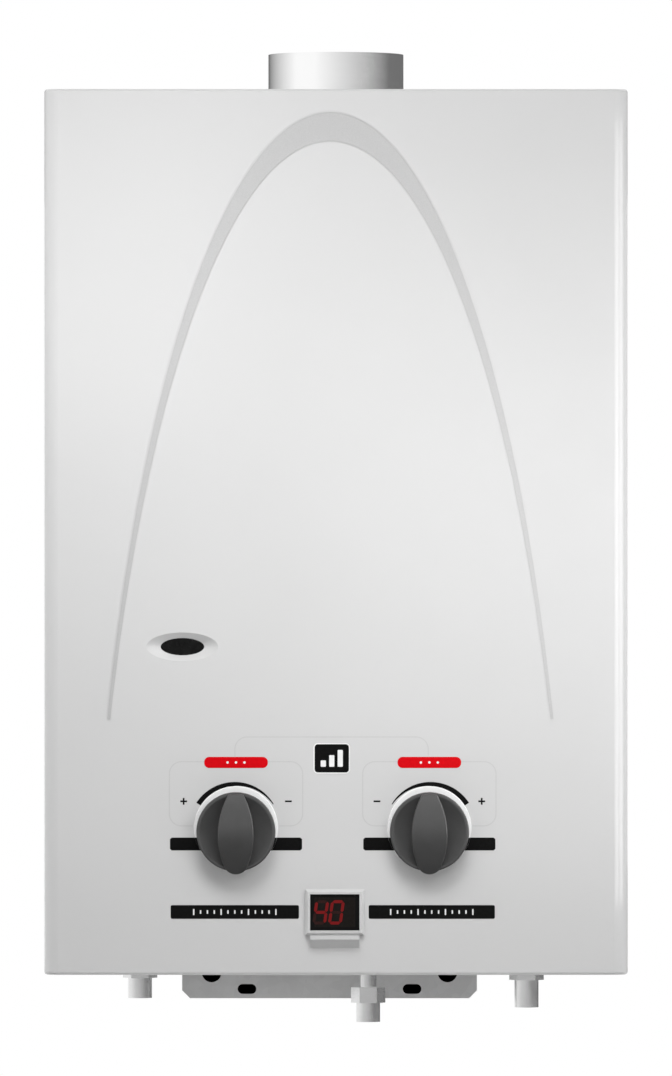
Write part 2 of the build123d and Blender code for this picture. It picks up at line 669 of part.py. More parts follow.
def spindle(x):
    """Valve spindle from inside its knob to its seat in the valve, with a flat at the knob's end."""
    tip = KNOB_BACK - KNOB_BORE_L + FIT
    shaft = bar_y(SPINDLE_R, x, tip, VALVE_Y0 + SPINDLE_SEAT, KNOB_Z)
    flat_z = KNOB_Z + SPINDLE_R - SPINDLE_FLAT
    return shaft - block(x - SPINDLE_R, x + SPINDLE_R, tip - CUT, KNOB_BACK, flat_z, KNOB_Z + SPINDLE_R + CUT)


def spindle_bore(x):
    """Bore in a valve's front for its spindle."""
    return bar_y(SPINDLE_R + RUN, x, VALVE_Y0 - BOSS_L - CUT, VALVE_Y0 + SPINDLE_SEAT + FIT, KNOB_Z)


def display_bezel():
    """Silver frame of the display, with a sill below and a sleeve through the cover."""
    half_w = SCREEN_W / 2 + BEZEL_RIM
    half_h = SCREEN_H / 2 + BEZEL_RIM
    frame = block(DISPLAY_X - half_w, DISPLAY_X + half_w, FRONT - BEZEL_OUT, FRONT,
                  DISPLAY_Z - half_h, DISPLAY_Z + half_h)
    frame = chamfer(frame.faces().sort_by(Axis.Y)[0].edges(), BEZEL_RIM / 2)
    foot = DISPLAY_Z - half_h
    sill_z = foot - SILL_H
    sill_x = DISPLAY_X - SILL_W / 2
    frame += block(sill_x, sill_x + SILL_W, FRONT - SILL_OUT, FRONT, sill_z, foot)
    slope = make_face(Polyline((FRONT, sill_z), (FRONT - SILL_OUT, sill_z), (FRONT, sill_z - SILL_DROP),
                               close=True))
    frame += extrude(Plane((sill_x, 0, 0), x_dir=(0, 1, 0), z_dir=(1, 0, 0)) * slope, SILL_W)
    sleeve_w = SCREEN_W / 2 + BEZEL_WALL
    sleeve_h = SCREEN_H / 2 + BEZEL_WALL
    frame += block(DISPLAY_X - sleeve_w, DISPLAY_X + sleeve_w, FRONT, FRONT + BEZEL_SLEEVE,
                   DISPLAY_Z - sleeve_h, DISPLAY_Z + sleeve_h)
    return frame - screen_block(0.0, FRONT - BEZEL_OUT - CUT, FRONT + BEZEL_SLEEVE + CUT)


def screen_block(gap, y0, y1):
    """Block of the screen's outline, smaller by gap all round."""
    half_w = SCREEN_W / 2 - gap
    half_h = SCREEN_H / 2 - gap
    return block(DISPLAY_X - half_w, DISPLAY_X + half_w, y0, y1, DISPLAY_Z - half_h, DISPLAY_Z + half_h)


def display_lens():
    """Dark window of the display."""
    y0 = FRONT - BEZEL_OUT + LENS_SINK
    return screen_block(RUN, y0, y0 + LENS_T)


def display_module():
    """Digit block behind the lens."""
    y0 = FRONT - BEZEL_OUT + LENS_SINK + LENS_T
    return screen_block(FIT, y0, FRONT + BEZEL_SLEEVE)


def display_board():
    """Circuit board behind the digit block."""
    y0 = FRONT + BEZEL_SLEEVE
    board = block(DISPLAY_X - BOARD_W / 2, DISPLAY_X + BOARD_W / 2, y0, y0 + BOARD_T,
                  DISPLAY_Z - BOARD_H / 2, DISPLAY_Z + BOARD_H / 2)
    chip_y = y0 + BOARD_T
    return board + block(DISPLAY_X - BOARD_W / 4, DISPLAY_X + BOARD_W / 4, chip_y, chip_y + BOARD_T,
                         DISPLAY_Z - BOARD_H / 6, DISPLAY_Z + BOARD_H / 6)


def flue_collar():
    """Polished spigot for the flue duct, with a belled root and a flange on the hood."""
    tube = bar_z(COLLAR_R, 0, STACK_Y, HOOD_TOP, TOP + COLLAR_RISE)
    tube += bar_z(COLLAR_R + SHEET, 0, STACK_Y, HOOD_TOP, TOP + COLLAR_ROOT)
    tube += bar_z(COLLAR_R + COLLAR_FLANGE, 0, STACK_Y, HOOD_TOP, HOOD_TOP + SHEET)
    return tube - bar_z(COLLAR_R - SHEET, 0, STACK_Y, HOOD_TOP - CUT, TOP + COLLAR_RISE + CUT)


def hood_outline(inset):
    """Front outline of the hood: upright below, sloping in to its flat top."""
    foot = CH_HALF - inset
    top = COLLAR_R + HOOD_SHOULDER - inset
    low = CH_TOP - (CUT if inset else 0.0)
    points = [(-foot, low), (foot, low), (foot, CH_TOP + HOOD_UPRIGHT), (top, HOOD_TOP - inset),
              (-top, HOOD_TOP - inset), (-foot, CH_TOP + HOOD_UPRIGHT)]
    return make_face(Polyline(*points, close=True))


def draught_hood():
    """Sheet hood that gathers the flue gas from the exchanger to the collar."""
    hood = extrude(facing(CH_Y1) * hood_outline(0.0), amount=CH_Y1 - CH_Y0)
    hood -= extrude(facing(CH_Y1 - SHEET) * hood_outline(SHEET), amount=CH_Y1 - CH_Y0 - 2 * SHEET)
    return hood - bar_z(COLLAR_R - SHEET, 0, STACK_Y, HOOD_TOP - CUT, HOOD_TOP + CUT)


def combustion_chamber():
    """Copper jacket round the flame and the fins, its corners rolled to follow the coil's bends."""
    corner = COIL_BEND - TUBE_R - FIT
    outer = Pos(0, STACK_Y) * RectangleRounded(2 * CH_HALF, CH_Y1 - CH_Y0, corner)
    inner = offset(outer, -CHAMBER_WALL)
    chamber = Pos(0, 0, CH_FOOT) * extrude(outer - inner, amount=CH_TOP - CH_FOOT)
    for y in PASS_Y:
        chamber -= bar_x(TUBE_R + FIN_GAP, -CH_HALF - CUT, CH_HALF + CUT, y, HX_Z)
    for x in ELECTRODE_X:
        chamber -= bar_y(CERAMIC_R + FIT, x, CH_Y0 - CUT, CH_Y0 + CUT, ELECTRODE_Z)
    peep = facing(CH_Y0 - CUT, SIGHT_X, CH_FOOT + SIGHT_HALF_H + FLAME_GAP)
    return chamber - extrude(peep * Ellipse(SIGHT_HALF_W, SIGHT_HALF_H), amount=-2 * CUT)


def fin_pack():
    """Thin copper fins threaded on the exchanger tube."""
    room = 2 * (CH_HALF - CHAMBER_WALL) - FIN_PITCH
    count = int(room // FIN_PITCH) + 1
    gap = CHAMBER_WALL + FIT
    fin = block(-FIN_T / 2, FIN_T / 2, CH_Y0 + gap, CH_Y1 - gap, CH_TOP - FIN_H, CH_TOP - FLAME_GAP)
    for y in PASS_Y:
        fin -= bar_x(TUBE_R + FIN_GAP, -CUT, CUT, y, HX_Z)
    return Compound([Pos((i - (count - 1) / 2) * FIN_PITCH, 0, 0) * fin for i in range(count)])


def exchanger_tube():
    """Copper tube that runs to and fro through the fins."""
    turn = CH_HALF + TURN_OUT
    points = [(TUBE_END, PASS_Y[0], HX_Z)]
    side = -1
    for i in range(PASS_COUNT - 1):
        points.append((side * turn, PASS_Y[i], HX_Z))
        points.append((side * turn, PASS_Y[i + 1], HX_Z))
        side = -side
    points.append((side * TUBE_END, PASS_Y[-1], HX_Z))
    return pipe(points, PASS_PITCH / 2 - TURN_SLACK, TUBE_R, TUBE_BORE)


def jacket_coil():
    """Copper pipe wound twice round the chamber, from the cold riser up to the exchanger."""
    corners = [(COIL_X, COIL_Y1), (-COIL_X, COIL_Y1), (-COIL_X, COIL_Y0), (COIL_X, COIL_Y0)]
    z = CH_FOOT + COIL_RISE
    points = [(COIL_X, COIL_Y1, CH_FOOT)]
    for i in range(COIL_CORNERS):
        x, y = corners[i % len(corners)]
        points.append((x, y, z))
        z += COIL_RISE / len(corners)
    points.append((RISER_X, COIL_Y0, z))
    points.append((RISER_X, PASS_Y[0], z))
    points.append((RISER_X, PASS_Y[0], HX_Z))
    points.append((TUBE_END, PASS_Y[0], HX_Z))
    last_bend = RISER_X - TUBE_END - TURN_SLACK
    bends = [COIL_BEND] * COIL_CORNERS + [COIL_EXIT_BEND, COIL_EXIT_BEND, last_bend]
    return pipe(points, bends, TUBE_R, TUBE_BORE)


def chamber_brackets():
    """Two folded strips that hang the chamber on the back panel."""
    z = CH_TOP - BRACKET_H
    return Compound([channel(x, CH_Y1, -SHEET, z, BRACKET_W, BRACKET_H) for x in (-BRACKET_X, BRACKET_X)])


def burner_frame():
    """Sheet rack under the chamber, with ledges for the blades and holes for the jets."""
    rack = block(-CH_HALF, CH_HALF, CH_Y0, CH_Y1, RACK_Z0, CH_FOOT)
    rack -= block(-CH_HALF + RACK_WALL, CH_HALF - RACK_WALL, CH_Y0 + RACK_WALL, CH_Y1 - RACK_WALL,
                  RACK_Z0 - CUT, CH_FOOT + CUT)
    ledge_top = RACK_Z0 + RACK_WALL
    rack += block(-CH_HALF, CH_HALF, CH_Y0, CH_Y0 + RACK_LEDGE, RACK_Z0, ledge_top)
    rack += block(-CH_HALF, CH_HALF, CH_Y1 - RACK_LEDGE, CH_Y1, RACK_Z0, ledge_top)
    for x in BLADE_X:
        rack -= bar_y(JET_R + FIT, x, CH_Y0 - CUT, CH_Y0 + CUT, JET_Z)
    return rack


def burner_blades():
    """Row of slim steel burners with flame ports on top and a mixing throat at the front."""
    y0 = CH_Y0 + BLADE_SETBACK
    y1 = CH_Y1 - BLADE_SETBACK
    blade = block(-BLADE_T / 2, BLADE_T / 2, y0, y1, BURNER_TOP - BLADE_H, BURNER_TOP)
    blade = fillet(blade.edges().filter_by(Axis.Z), BLADE_T / 4)
    step = (y1 - y0) / BLADE_PORTS
    for i in range(BLADE_PORTS):
        y = y0 + (i + 0.5) * step
        blade -= block(-BLADE_T, BLADE_T, y - PORT_W / 2, y + PORT_W / 2,
                       BURNER_TOP - PORT_DEPTH, BURNER_TOP + CUT)
    blade -= bar_y(VENTURI_R, 0, y0 - CUT, y0 + VENTURI_L, JET_Z)
    return Compound([Pos(x, 0, 0) * blade for x in BLADE_X])


def gas_manifold():
    """Brass bar that feeds the jets, with two lugs on the burner frame."""
    half = BLADE_X[-1] + BLADE_T
    half_h = MANIFOLD_D / 2
    bar = block(-half, half, MANIFOLD_Y0, MANIFOLD_Y1, JET_Z - half_h, JET_Z + half_h)
    bar -= bar_x(MANIFOLD_BORE, -half + BLADE_T / 2, half - BLADE_T / 2, MANIFOLD_Y, JET_Z)
    bar -= bar_z(MANIFOLD_BORE, FEED_X, MANIFOLD_Y, JET_Z - half_h - CUT, JET_Z)
    for side in (-1, 1):
        x = side * (half - BLADE_T / 4)
        bar += block(x - BLADE_T / 4, x + BLADE_T / 4, MANIFOLD_Y1, CH_Y0, JET_Z - half_h, JET_Z + half_h)
    return bar


def injectors():
    """Brass jets that face the blades' throats."""
    y1 = CH_Y0 + JET_TIP
    jet = bar_y(JET_R, 0, MANIFOLD_Y1, y1, JET_Z) - bar_y(JET_BORE, 0, MANIFOLD_Y1 - CUT, y1 + CUT, JET_Z)
    return Compound([Pos(x, 0, 0) * jet for x in BLADE_X])


def electrode_bracket():
    """Plate on the chamber's front that holds the electrodes."""
    half = ELECTRODE_SPAN / 2 + ELECTRODE_MARGIN
    plate = block(-half, half, CH_Y0 - BRACKET_T, CH_Y0,
                  ELECTRODE_Z - ELECTRODE_MARGIN, ELECTRODE_Z + ELECTRODE_MARGIN)
    for x in ELECTRODE_X:
        plate -= bar_y(CERAMIC_R + RUN, x, CH_Y0 - CUT, CH_Y0 + CUT, ELECTRODE_Z)
    return plate


def electrode_ceramics():
    """White insulators of the igniter and the flame sensor, each with a collar on the bracket."""
    rods = []
    for x in ELECTRODE_X:
        rod = bar_y(CERAMIC_R, x, CERAMIC_Y0, CH_Y0 + CERAMIC_IN, ELECTRODE_Z)
        seat = CH_Y0 - BRACKET_T
        rods.append(rod + bar_y(CERAMIC_COLLAR_R, x, seat - CERAMIC_COLLAR_L, seat, ELECTRODE_Z))
    return Compound(rods)


def electrode_tips():
    """Wires that stand into the flame."""
    y0 = CH_Y0 + CERAMIC_IN
    return Compound([bar_y(TIP_R, x, y0, y0 + TIP_L, ELECTRODE_Z) for x in ELECTRODE_X])


def electrode_boots():
    """Rubber caps where the leads meet the electrodes."""
    return Compound([bar_y(BOOT_R, x, CERAMIC_Y0 - BOOT_L, CERAMIC_Y0, ELECTRODE_Z) for x in ELECTRODE_X])


def electrode_leads():
    """Two insulated wires from the igniter box to the electrodes."""
    left, right = ELECTRODE_X
    upper = [(left - BOOT_R, LEAD_Y, ELECTRODE_Z), (LEAD_X, LEAD_Y, ELECTRODE_Z),
             (LEAD_X, IGNITER_Y0, ELECTRODE_Z)]
    low = ELECTRODE_Z - BOOT_R - LEAD_DROP
    lower = [(right, LEAD_Y, ELECTRODE_Z - BOOT_R), (right, LEAD_Y, low), (LEAD_X, LEAD_Y, low),
             (LEAD_X, IGNITER_Y0, low)]
    return Compound([lead(upper, LEAD_BEND), lead(lower, [LEAD_DROP - LEAD_OFF, LEAD_BEND])])


def igniter_box():
    """Plastic box of the spark and flame control, on the back panel."""
    z1 = ELECTRODE_Z + LEAD_INSET
    box = block(IGNITER_X0, IGNITER_X1, IGNITER_Y0, -SHEET, z1 - IGNITER_H, z1)
    return fillet(box.edges().filter_by(Axis.Y), FRAME_T)


def gas_valve_body():
    """Cast gas valve: inlet at its right, outlet on top, spindle bore in front, poppet bore inside."""
    x0 = GAS_KNOB_X - GAS_WIDE
    body = block(x0, GAS_FACE, VALVE_Y0, GAS_BODY_Y1, KNOB_Z - GAS_HALF_H, KNOB_Z + GAS_HALF_H)
    body = fillet(body.edges().filter_by(Axis.Y).sort_by(Axis.X)[:2], BOSS_L)
    body += bar_y(BOSS_R, GAS_KNOB_X, VALVE_Y0 - BOSS_L, VALVE_Y0, KNOB_Z)
    body -= spindle_bore(GAS_KNOB_X)
    body -= bar_x(POPPET_BORE_R, POPPET_BORE_X0, POPPET_BORE_X1, ROD_Y, KNOB_Z)
    body -= bar_x(ROD_R + RUN, POPPET_BORE_X0 + CUT, GAS_FACE + CUT, ROD_Y, KNOB_Z)
    body -= bar_x(GAS_PIPE_BORE, GAS_FACE - PORT_L, GAS_FACE + CUT, GAS_Y, KNOB_Z)
    top = KNOB_Z + GAS_HALF_H
    return body - bar_z(GAS_PIPE_BORE, FEED_X, FEED_Y, top - PORT_L, top + CUT)


def gas_poppet():
    """Sealing disc of the gas valve, on the push rod's end."""
    disc = bar_x(POPPET_R, POPPET_X0, POPPET_X1, ROD_Y, KNOB_Z)
    return disc - bar_x(ROD_R + RUN / 2, POPPET_X0 - CUT, POPPET_X1 + CUT, ROD_Y, KNOB_Z)


def push_rod():
    """Rod with its diaphragm plate and the collar that works the switch."""
    x1 = PLATE_X1 - PLATE_T
    rod = bar_x(ROD_R, POPPET_X0 - SPRING_WIRE, x1, ROD_Y, KNOB_Z)
    rod += bar_x(ROD_COLLAR_R, COLLAR_X, COLLAR_X + ROD_COLLAR_T, ROD_Y, KNOB_Z)
    return rod + bar_x(PLATE_R, x1, PLATE_X1, ROD_Y, KNOB_Z)


def poppet_spring():
    """Coil spring that closes the poppet."""
    room = FIT / 2 + SPRING_WIRE
    length = POPPET_X0 - POPPET_BORE_X0 - 2 * room
    coil = Helix(length / SPRING_TURNS, length, SPRING_R)
    section = Plane(origin=coil @ 0, z_dir=coil % 0) * Circle(SPRING_WIRE)
    spring = sweep(section, path=coil, is_frenet=True)
    return Pos(POPPET_BORE_X0 + room, ROD_Y, KNOB_Z) * Rot(0, 90, 0) * spring


def around_diaphragm(radius, x0, x1):
    """One bar at each bolt of the diaphragm flange."""
    pcd = (DIAPHRAGM_R + CHAMBER_R) / 2
    bars = []
    for i in range(BOLT_COUNT):
        angle = 2 * math.pi * i / BOLT_COUNT
        bars.append(bar_x(radius, x0, x1, ROD_Y + pcd * math.cos(angle), KNOB_Z + pcd * math.sin(angle)))
    return bars


def water_valve_body():
    """Brass water valve: inlet at its right, outlet behind, drain below, diaphragm flange at its left."""
    body = block(FLANGE_X1, WATER_X1, VALVE_Y0, WATER_Y1, KNOB_Z - WATER_HALF_H, KNOB_Z + WATER_HALF_H)
    body += bar_x(DIAPHRAGM_R, FLANGE_X0, FLANGE_X1, ROD_Y, KNOB_Z)
    body += bar_y(BOSS_R, WATER_KNOB_X, VALVE_Y0 - BOSS_L, VALVE_Y0, KNOB_Z)
    body -= spindle_bore(WATER_KNOB_X)
    body -= bar_x(PORT_R, WATER_X1 - PORT_L, WATER_X1 + CUT, ROD_Y, KNOB_Z)
    body -= bar_y(PORT_R, OUTLET_X, WATER_Y1 - PORT_L, WATER_Y1 + CUT, KNOB_Z + OUTLET_UP)
    foot = KNOB_Z - WATER_HALF_H
    body -= bar_z(DRAIN_R + RUN, DRAIN_X, ROD_Y, foot - CUT, foot + DRAIN_SEAT + FIT)
    for hole in around_diaphragm(BOLT_R + RUN, FLANGE_X0 - CUT, FLANGE_X1 + CUT):
        body -= hole
    return body


def diaphragm():
    """Rubber disc between the valve's flange and its cover."""
    disc = bar_x(DIAPHRAGM_R, DIAPHRAGM_X0, FLANGE_X0, ROD_Y, KNOB_Z)
    for hole in around_diaphragm(BOLT_R + RUN, DIAPHRAGM_X0 - CUT, FLANGE_X0 + CUT):
        disc -= hole
    return disc


def diaphragm_cover():
    """Brass bell over the diaphragm plate, with a guide for the rod."""
    bell = bar_x(DIAPHRAGM_R, COVER_X0, DIAPHRAGM_X0, ROD_Y, KNOB_Z)
    bell -= bar_x(CHAMBER_R, COVER_X0 + COVER_WALL, DIAPHRAGM_X0 + CUT, ROD_Y, KNOB_Z)
    bell -= bar_x(ROD_R + RUN, COVER_X0 - CUT, COVER_X0 + 2 * COVER_WALL, ROD_Y, KNOB_Z)
    for hole in around_diaphragm(BOLT_R + RUN, COVER_X0 - CUT, DIAPHRAGM_X0 + CUT):
        bell -= hole
    return bell


def diaphragm_screws():
    """Screws through the cover and the diaphragm into the flange."""
    heads = around_diaphragm(BOLT_HEAD_R, COVER_X0 - BOLT_HEAD_H, COVER_X0)
    shanks = around_diaphragm(BOLT_R, COVER_X0, FLANGE_X1 - FIT)
    return Compound([head + shank for head, shank in zip(heads, shanks)])


def valve_spacers():
    """Three pillars that join the two valves."""
    places = [(-SPACER_OFF, SPACER_OFF), (SPACER_OFF, SPACER_OFF), (SPACER_OFF, -SPACER_OFF)]
    return Compound([bar_x(SPACER_R, GAS_FACE, COVER_X0, ROD_Y + dy, KNOB_Z + dz) for dy, dz in places])


def valve_bracket():
    """Folded strip that carries the gas valve on the back panel."""
    return channel(GAS_KNOB_X, GAS_BODY_Y1, -SHEET, KNOB_Z, BRACKET_W, 2 * GAS_HALF_H - 2 * BOSS_L)


def microswitch():
    """Switch under the push rod, with two ears for its lever."""
    half = SWITCH_W / 2
    body = block(GAS_FACE, GAS_FACE + SWITCH_L, ROD_Y - half, ROD_Y + half, SWITCH_Z1 - SWITCH_H, SWITCH_Z1)
    ear_top = PIVOT_Z + EAR_R
    for y0 in (ROD_Y - half, ROD_Y + half - EAR_T):
        body += block(PIVOT_X - EAR_R, PIVOT_X + EAR_R, y0, y0 + EAR_T, SWITCH_Z1, ear_top)
    return body - bar_y(PIVOT_R + RUN, PIVOT_X, ROD_Y - half - CUT, ROD_Y + half + CUT, PIVOT_Z)


def microswitch_lever():
    """Lever between the ears, tipped by the rod's collar."""
    tip = KNOB_Z - ROD_R - LEVER_GAP
    half = LEVER_W / 2
    arm = block(PIVOT_X - LEVER_T / 2, PIVOT_X + LEVER_T / 2, ROD_Y - half, ROD_Y + half, PIVOT_Z, tip)
    return arm + bar_y(PIVOT_R, PIVOT_X, ROD_Y - SWITCH_W / 2, ROD_Y + SWITCH_W / 2, PIVOT_Z)


def gas_inlet_pipe():
    """Pipe from the gas valve down to the union, with a bead that the nut holds."""
    points = [(GAS_FACE, GAS_Y, KNOB_Z), (GAS_X, GAS_Y, KNOB_Z), (GAS_X, GAS_Y, UNION_Z)]
    tube = pipe(points, GAS_BEND, GAS_PIPE_R, GAS_PIPE_BORE)
    bead = bar_z(NECK_R, GAS_X, GAS_Y, UNION_Z, UNION_Z + GAS_BEAD)
    return tube + (bead - bar_z(GAS_PIPE_BORE, GAS_X, GAS_Y, UNION_Z - CUT, UNION_Z + GAS_BEAD + CUT))


def gas_union_nut():
    """Hexagon nut of the gas union, with a flat to the front."""
    nut = hex_nut(GAS_X, GAS_Y, UNION_NUT_Z0, UNION_NUT_Z0 + UNION_NUT_H, GAS_PIPE_R + RUN)
    return nut - bar_z(NECK_R + RUN, GAS_X, GAS_Y, UNION_NUT_Z0 - CUT, UNION_Z + GAS_BEAD + RUN)


def gas_inlet_tail():
    """Plain tail of the gas union, wider where the nut holds it."""
    tail = bar_z(STUB_R, GAS_X, GAS_Y, BOTTOM - GAS_DROP, UNION_NUT_Z0)
    tail += bar_z(NECK_R, GAS_X, GAS_Y, UNION_NUT_Z0, UNION_Z)
    return tail - bar_z(STUB_BORE, GAS_X, GAS_Y, BOTTOM - GAS_DROP - CUT, UNION_Z + CUT)


def gas_feed_pipe():
    """Pipe from the gas valve's top up to the manifold."""
    start = KNOB_Z + GAS_HALF_H
    end = JET_Z - MANIFOLD_D / 2
    points = [(FEED_X, FEED_Y, start), (FEED_X, FEED_Y, start + FEED_RISE),
              (FEED_X, MANIFOLD_Y, start + FEED_RISE), (FEED_X, MANIFOLD_Y, end)]
    return pipe(points, FEED_BEND, TUBE_R, TUBE_BORE)


def fitting(x, y, drop):
    """Pipe end: a plain stub, a neck through the nut and the bottom plate, and a flange on the plate."""
    nut_foot = PLATE_Z0 - LOCK_NUT_H
    stub = bar_z(STUB_R, x, y, BOTTOM - drop, nut_foot)
    stub += bar_z(NECK_R, x, y, nut_foot, STUB_TOP)
    stub += bar_z(STUB_FLANGE_R, x, y, PLATE_Z1, PLATE_Z1 + STUB_FLANGE_T)
    return stub - bar_z(STUB_BORE, x, y, BOTTOM - drop - CUT, STUB_TOP + CUT)


def fitting_lock_nuts():
    """Nuts that clamp the two water fittings under the bottom plate."""
    places = [(HOT_X, STACK_Y), (COLD_X, ROD_Y)]
    return Compound([hex_nut(x, y, PLATE_Z0 - LOCK_NUT_H, PLATE_Z0, NECK_R + RUN) for x, y in places])


def cold_inlet_pipe():
    """Pipe from the water valve down to the cold fitting."""
    points = [(WATER_X1, ROD_Y, KNOB_Z), (COLD_X, ROD_Y, KNOB_Z), (COLD_X, ROD_Y, STUB_TOP)]
    return pipe(points, COLD_BEND, TUBE_R, TUBE_BORE) + fitting(COLD_X, ROD_Y, COLD_DROP)


def cold_riser():
    """Pipe from the water valve's outlet back and up to the jacket coil."""
    z = KNOB_Z + OUTLET_UP
    points = [(OUTLET_X, WATER_Y1, z), (OUTLET_X, COIL_Y1, z), (COIL_X, COIL_Y1, z),
              (COIL_X, COIL_Y1, CH_FOOT)]
    return pipe(points, PIPE_BEND, TUBE_R, TUBE_BORE)


def hot_pipe():
    """Pipe from the exchanger out to the left and down to the hot fitting."""
    jog = STUB_TOP + HOT_JOG_UP
    points = [(-TUBE_END, PASS_Y[-1], HX_Z), (HOT_RISER_X, PASS_Y[-1], HX_Z), (HOT_RISER_X, STACK_Y, HX_Z),
              (HOT_RISER_X, STACK_Y, jog), (HOT_X, STACK_Y, jog - HOT_JOG), (HOT_X, STACK_Y, STUB_TOP)]
    return pipe(points, PIPE_BEND, TUBE_R, TUBE_BORE) + fitting(HOT_X, STACK_Y, HOT_DROP)


def temperature_probe():
    """Clip-on sensor round the hot pipe."""
    z0 = STUB_TOP + PROBE_H / 2
    clip = bar_z(TUBE_R + PROBE_T, HOT_X, STACK_Y, z0, z0 + PROBE_H)
    clip += block(HOT_X - PROBE_T, HOT_X + PROBE_T, STACK_Y - PROBE_UP / 2, STACK_Y, z0, z0 + PROBE_H)
    return clip - bar_z(TUBE_R + RUN, HOT_X, STACK_Y, z0 - CUT, z0 + PROBE_H + CUT)


def overheat_cutout():
    """Round thermal switch on the chamber's front."""
    z = CH_TOP - CUTOUT_DROP
    body = bar_y(CUTOUT_R, CUTOUT_X, CH_Y0 - CUTOUT_H, CH_Y0, z)
    ears = block(CUTOUT_X - CUTOUT_EAR, CUTOUT_X + CUTOUT_EAR, CH_Y0 - BRACKET_T, CH_Y0,
                 z - CUTOUT_R / 2, z + CUTOUT_R / 2)
    return body + ears


def drain_plug():
    """Slotted plug that turns in the water valve's foot and reaches the casing's bottom."""
    foot = KNOB_Z - WATER_HALF_H
    plug = bar_z(DRAIN_R, DRAIN_X, ROD_Y, foot - DRAIN_NECK, foot + DRAIN_SEAT)
    plug += bar_z(DRAIN_SHAFT_R, DRAIN_X, ROD_Y, BOTTOM + DRAIN_HEAD_H, foot - DRAIN_NECK)
    head = bar_z(DRAIN_HEAD_R, DRAIN_X, ROD_Y, BOTTOM, BOTTOM + DRAIN_HEAD_H)
    head = chamfer(head.edges().sort_by(Axis.Z)[0], DRAIN_SLOT / 2)
    head -= block(DRAIN_X - DRAIN_HEAD_R, DRAIN_X + DRAIN_HEAD_R,
                  ROD_Y - DRAIN_SLOT / 2, ROD_Y + DRAIN_SLOT / 2, BOTTOM - CUT, BOTTOM + DRAIN_SLOT)
    return plug + head


def battery_box():
    """Open-bottomed box on the bottom plate, with two hinge ears at its rear."""
    box = block(BAY_X0 - BOX_WALL, BAY_X1 + BOX_WALL, BAY_Y0 - BOX_WALL, BAY_Y1 + BOX_WALL,
                PLATE_Z1, BAY_TOP + BOX_WALL)
    box -= block(BAY_X0, BAY_X1, BAY_Y0, BAY_Y1, PLATE_Z1 - CUT, BAY_TOP)
    for x0 in (BAY_X0, BAY_X1 - HINGE_EAR):
        box += bar_x(HINGE_R, x0, x0 + HINGE_EAR, HINGE_Y, HINGE_Z)
        box += block(x0, x0 + HINGE_EAR, HINGE_Y - HINGE_R, BAY_Y1, HINGE_Z, PLATE_Z1 + HINGE_EAR_UP)
        box -= bar_x(HINGE_PIN_R + RUN, x0 - CUT, x0 + HINGE_EAR + CUT, HINGE_Y, HINGE_Z)
    return box


def battery_door():
    """Door in the bottom plate: panel, hinge barrel with its pins, latch and finger grooves."""
    door = block(BAY_X0 + FIT, BAY_X1 - FIT, BAY_Y0 + FIT, HINGE_Y - HINGE_EAR - FIT, BOTTOM, BOTTOM + DOOR_T)
    barrel_x0 = BAY_X0 + HINGE_EAR + FIT
    barrel_x1 = BAY_X1 - HINGE_EAR - FIT
    door += block(barrel_x0, barrel_x1, BAY_Y0 + FIT, HINGE_Y, BOTTOM, BOTTOM + DOOR_T)
    door += bar_x(HINGE_R, barrel_x0, barrel_x1, HINGE_Y, HINGE_Z)
    door += bar_x(HINGE_PIN_R, BAY_X0 + FIT, BAY_X1 - FIT, HINGE_Y, HINGE_Z)
    middle = (BAY_X0 + BAY_X1) / 2
    door += block(middle - LATCH_W / 2, middle + LATCH_W / 2, BAY_Y0 + FIT, BAY_Y0 + FIT + LATCH_T,
                  BOTTOM + DOOR_T, BOTTOM + DOOR_T + LATCH_H)
    for i in range(GRIP_GROOVES):
        y = BAY_Y0 + FIT + (i + 1) * GROOVE_PITCH
        door -= block(middle - LATCH_W, middle + LATCH_W, y, y + GROOVE_W,
                      BOTTOM - CUT, BOTTOM + GROOVE_DEPTH)
    return door


def battery_cells():
    """Two large round cells side by side, facing opposite ways."""
    cells = []
    for y, end in zip(CELL_Y, (-1, 1)):
        x0 = CELL_X0 + (CELL_NUB_H if end < 0 else 0.0)
        x1 = x0 + CELL_L - CELL_NUB_H
        nub = (CELL_X0, x0) if end < 0 else (x1, x1 + CELL_NUB_H)
        cells.append(bar_x(CELL_R, x0, x1, y, CELL_Z) + bar_x(CELL_NUB_R, nub[0], nub[1], y, CELL_Z))
    return Compound(cells)


def battery_contacts():
    """Spring plates at both ends of each cell."""
    half = CONTACT_SIZE / 2
    reach = CONTACT_ROOM - FIT
    plates = []
    for y in CELL_Y:
        left = block(BAY_X0, BAY_X0 + CONTACT_T, y - half, y + half, CELL_Z - half, CELL_Z + half)
        plates.append(left + bar_x(CELL_NUB_R, BAY_X0, BAY_X0 + reach, y, CELL_Z))
        right = block(BAY_X1 - CONTACT_T, BAY_X1, y - half, y + half, CELL_Z - half, CELL_Z + half)
        plates.append(right + bar_x(CELL_NUB_R, BAY_X1 - reach, BAY_X1, y, CELL_Z))
    return Compound(plates)


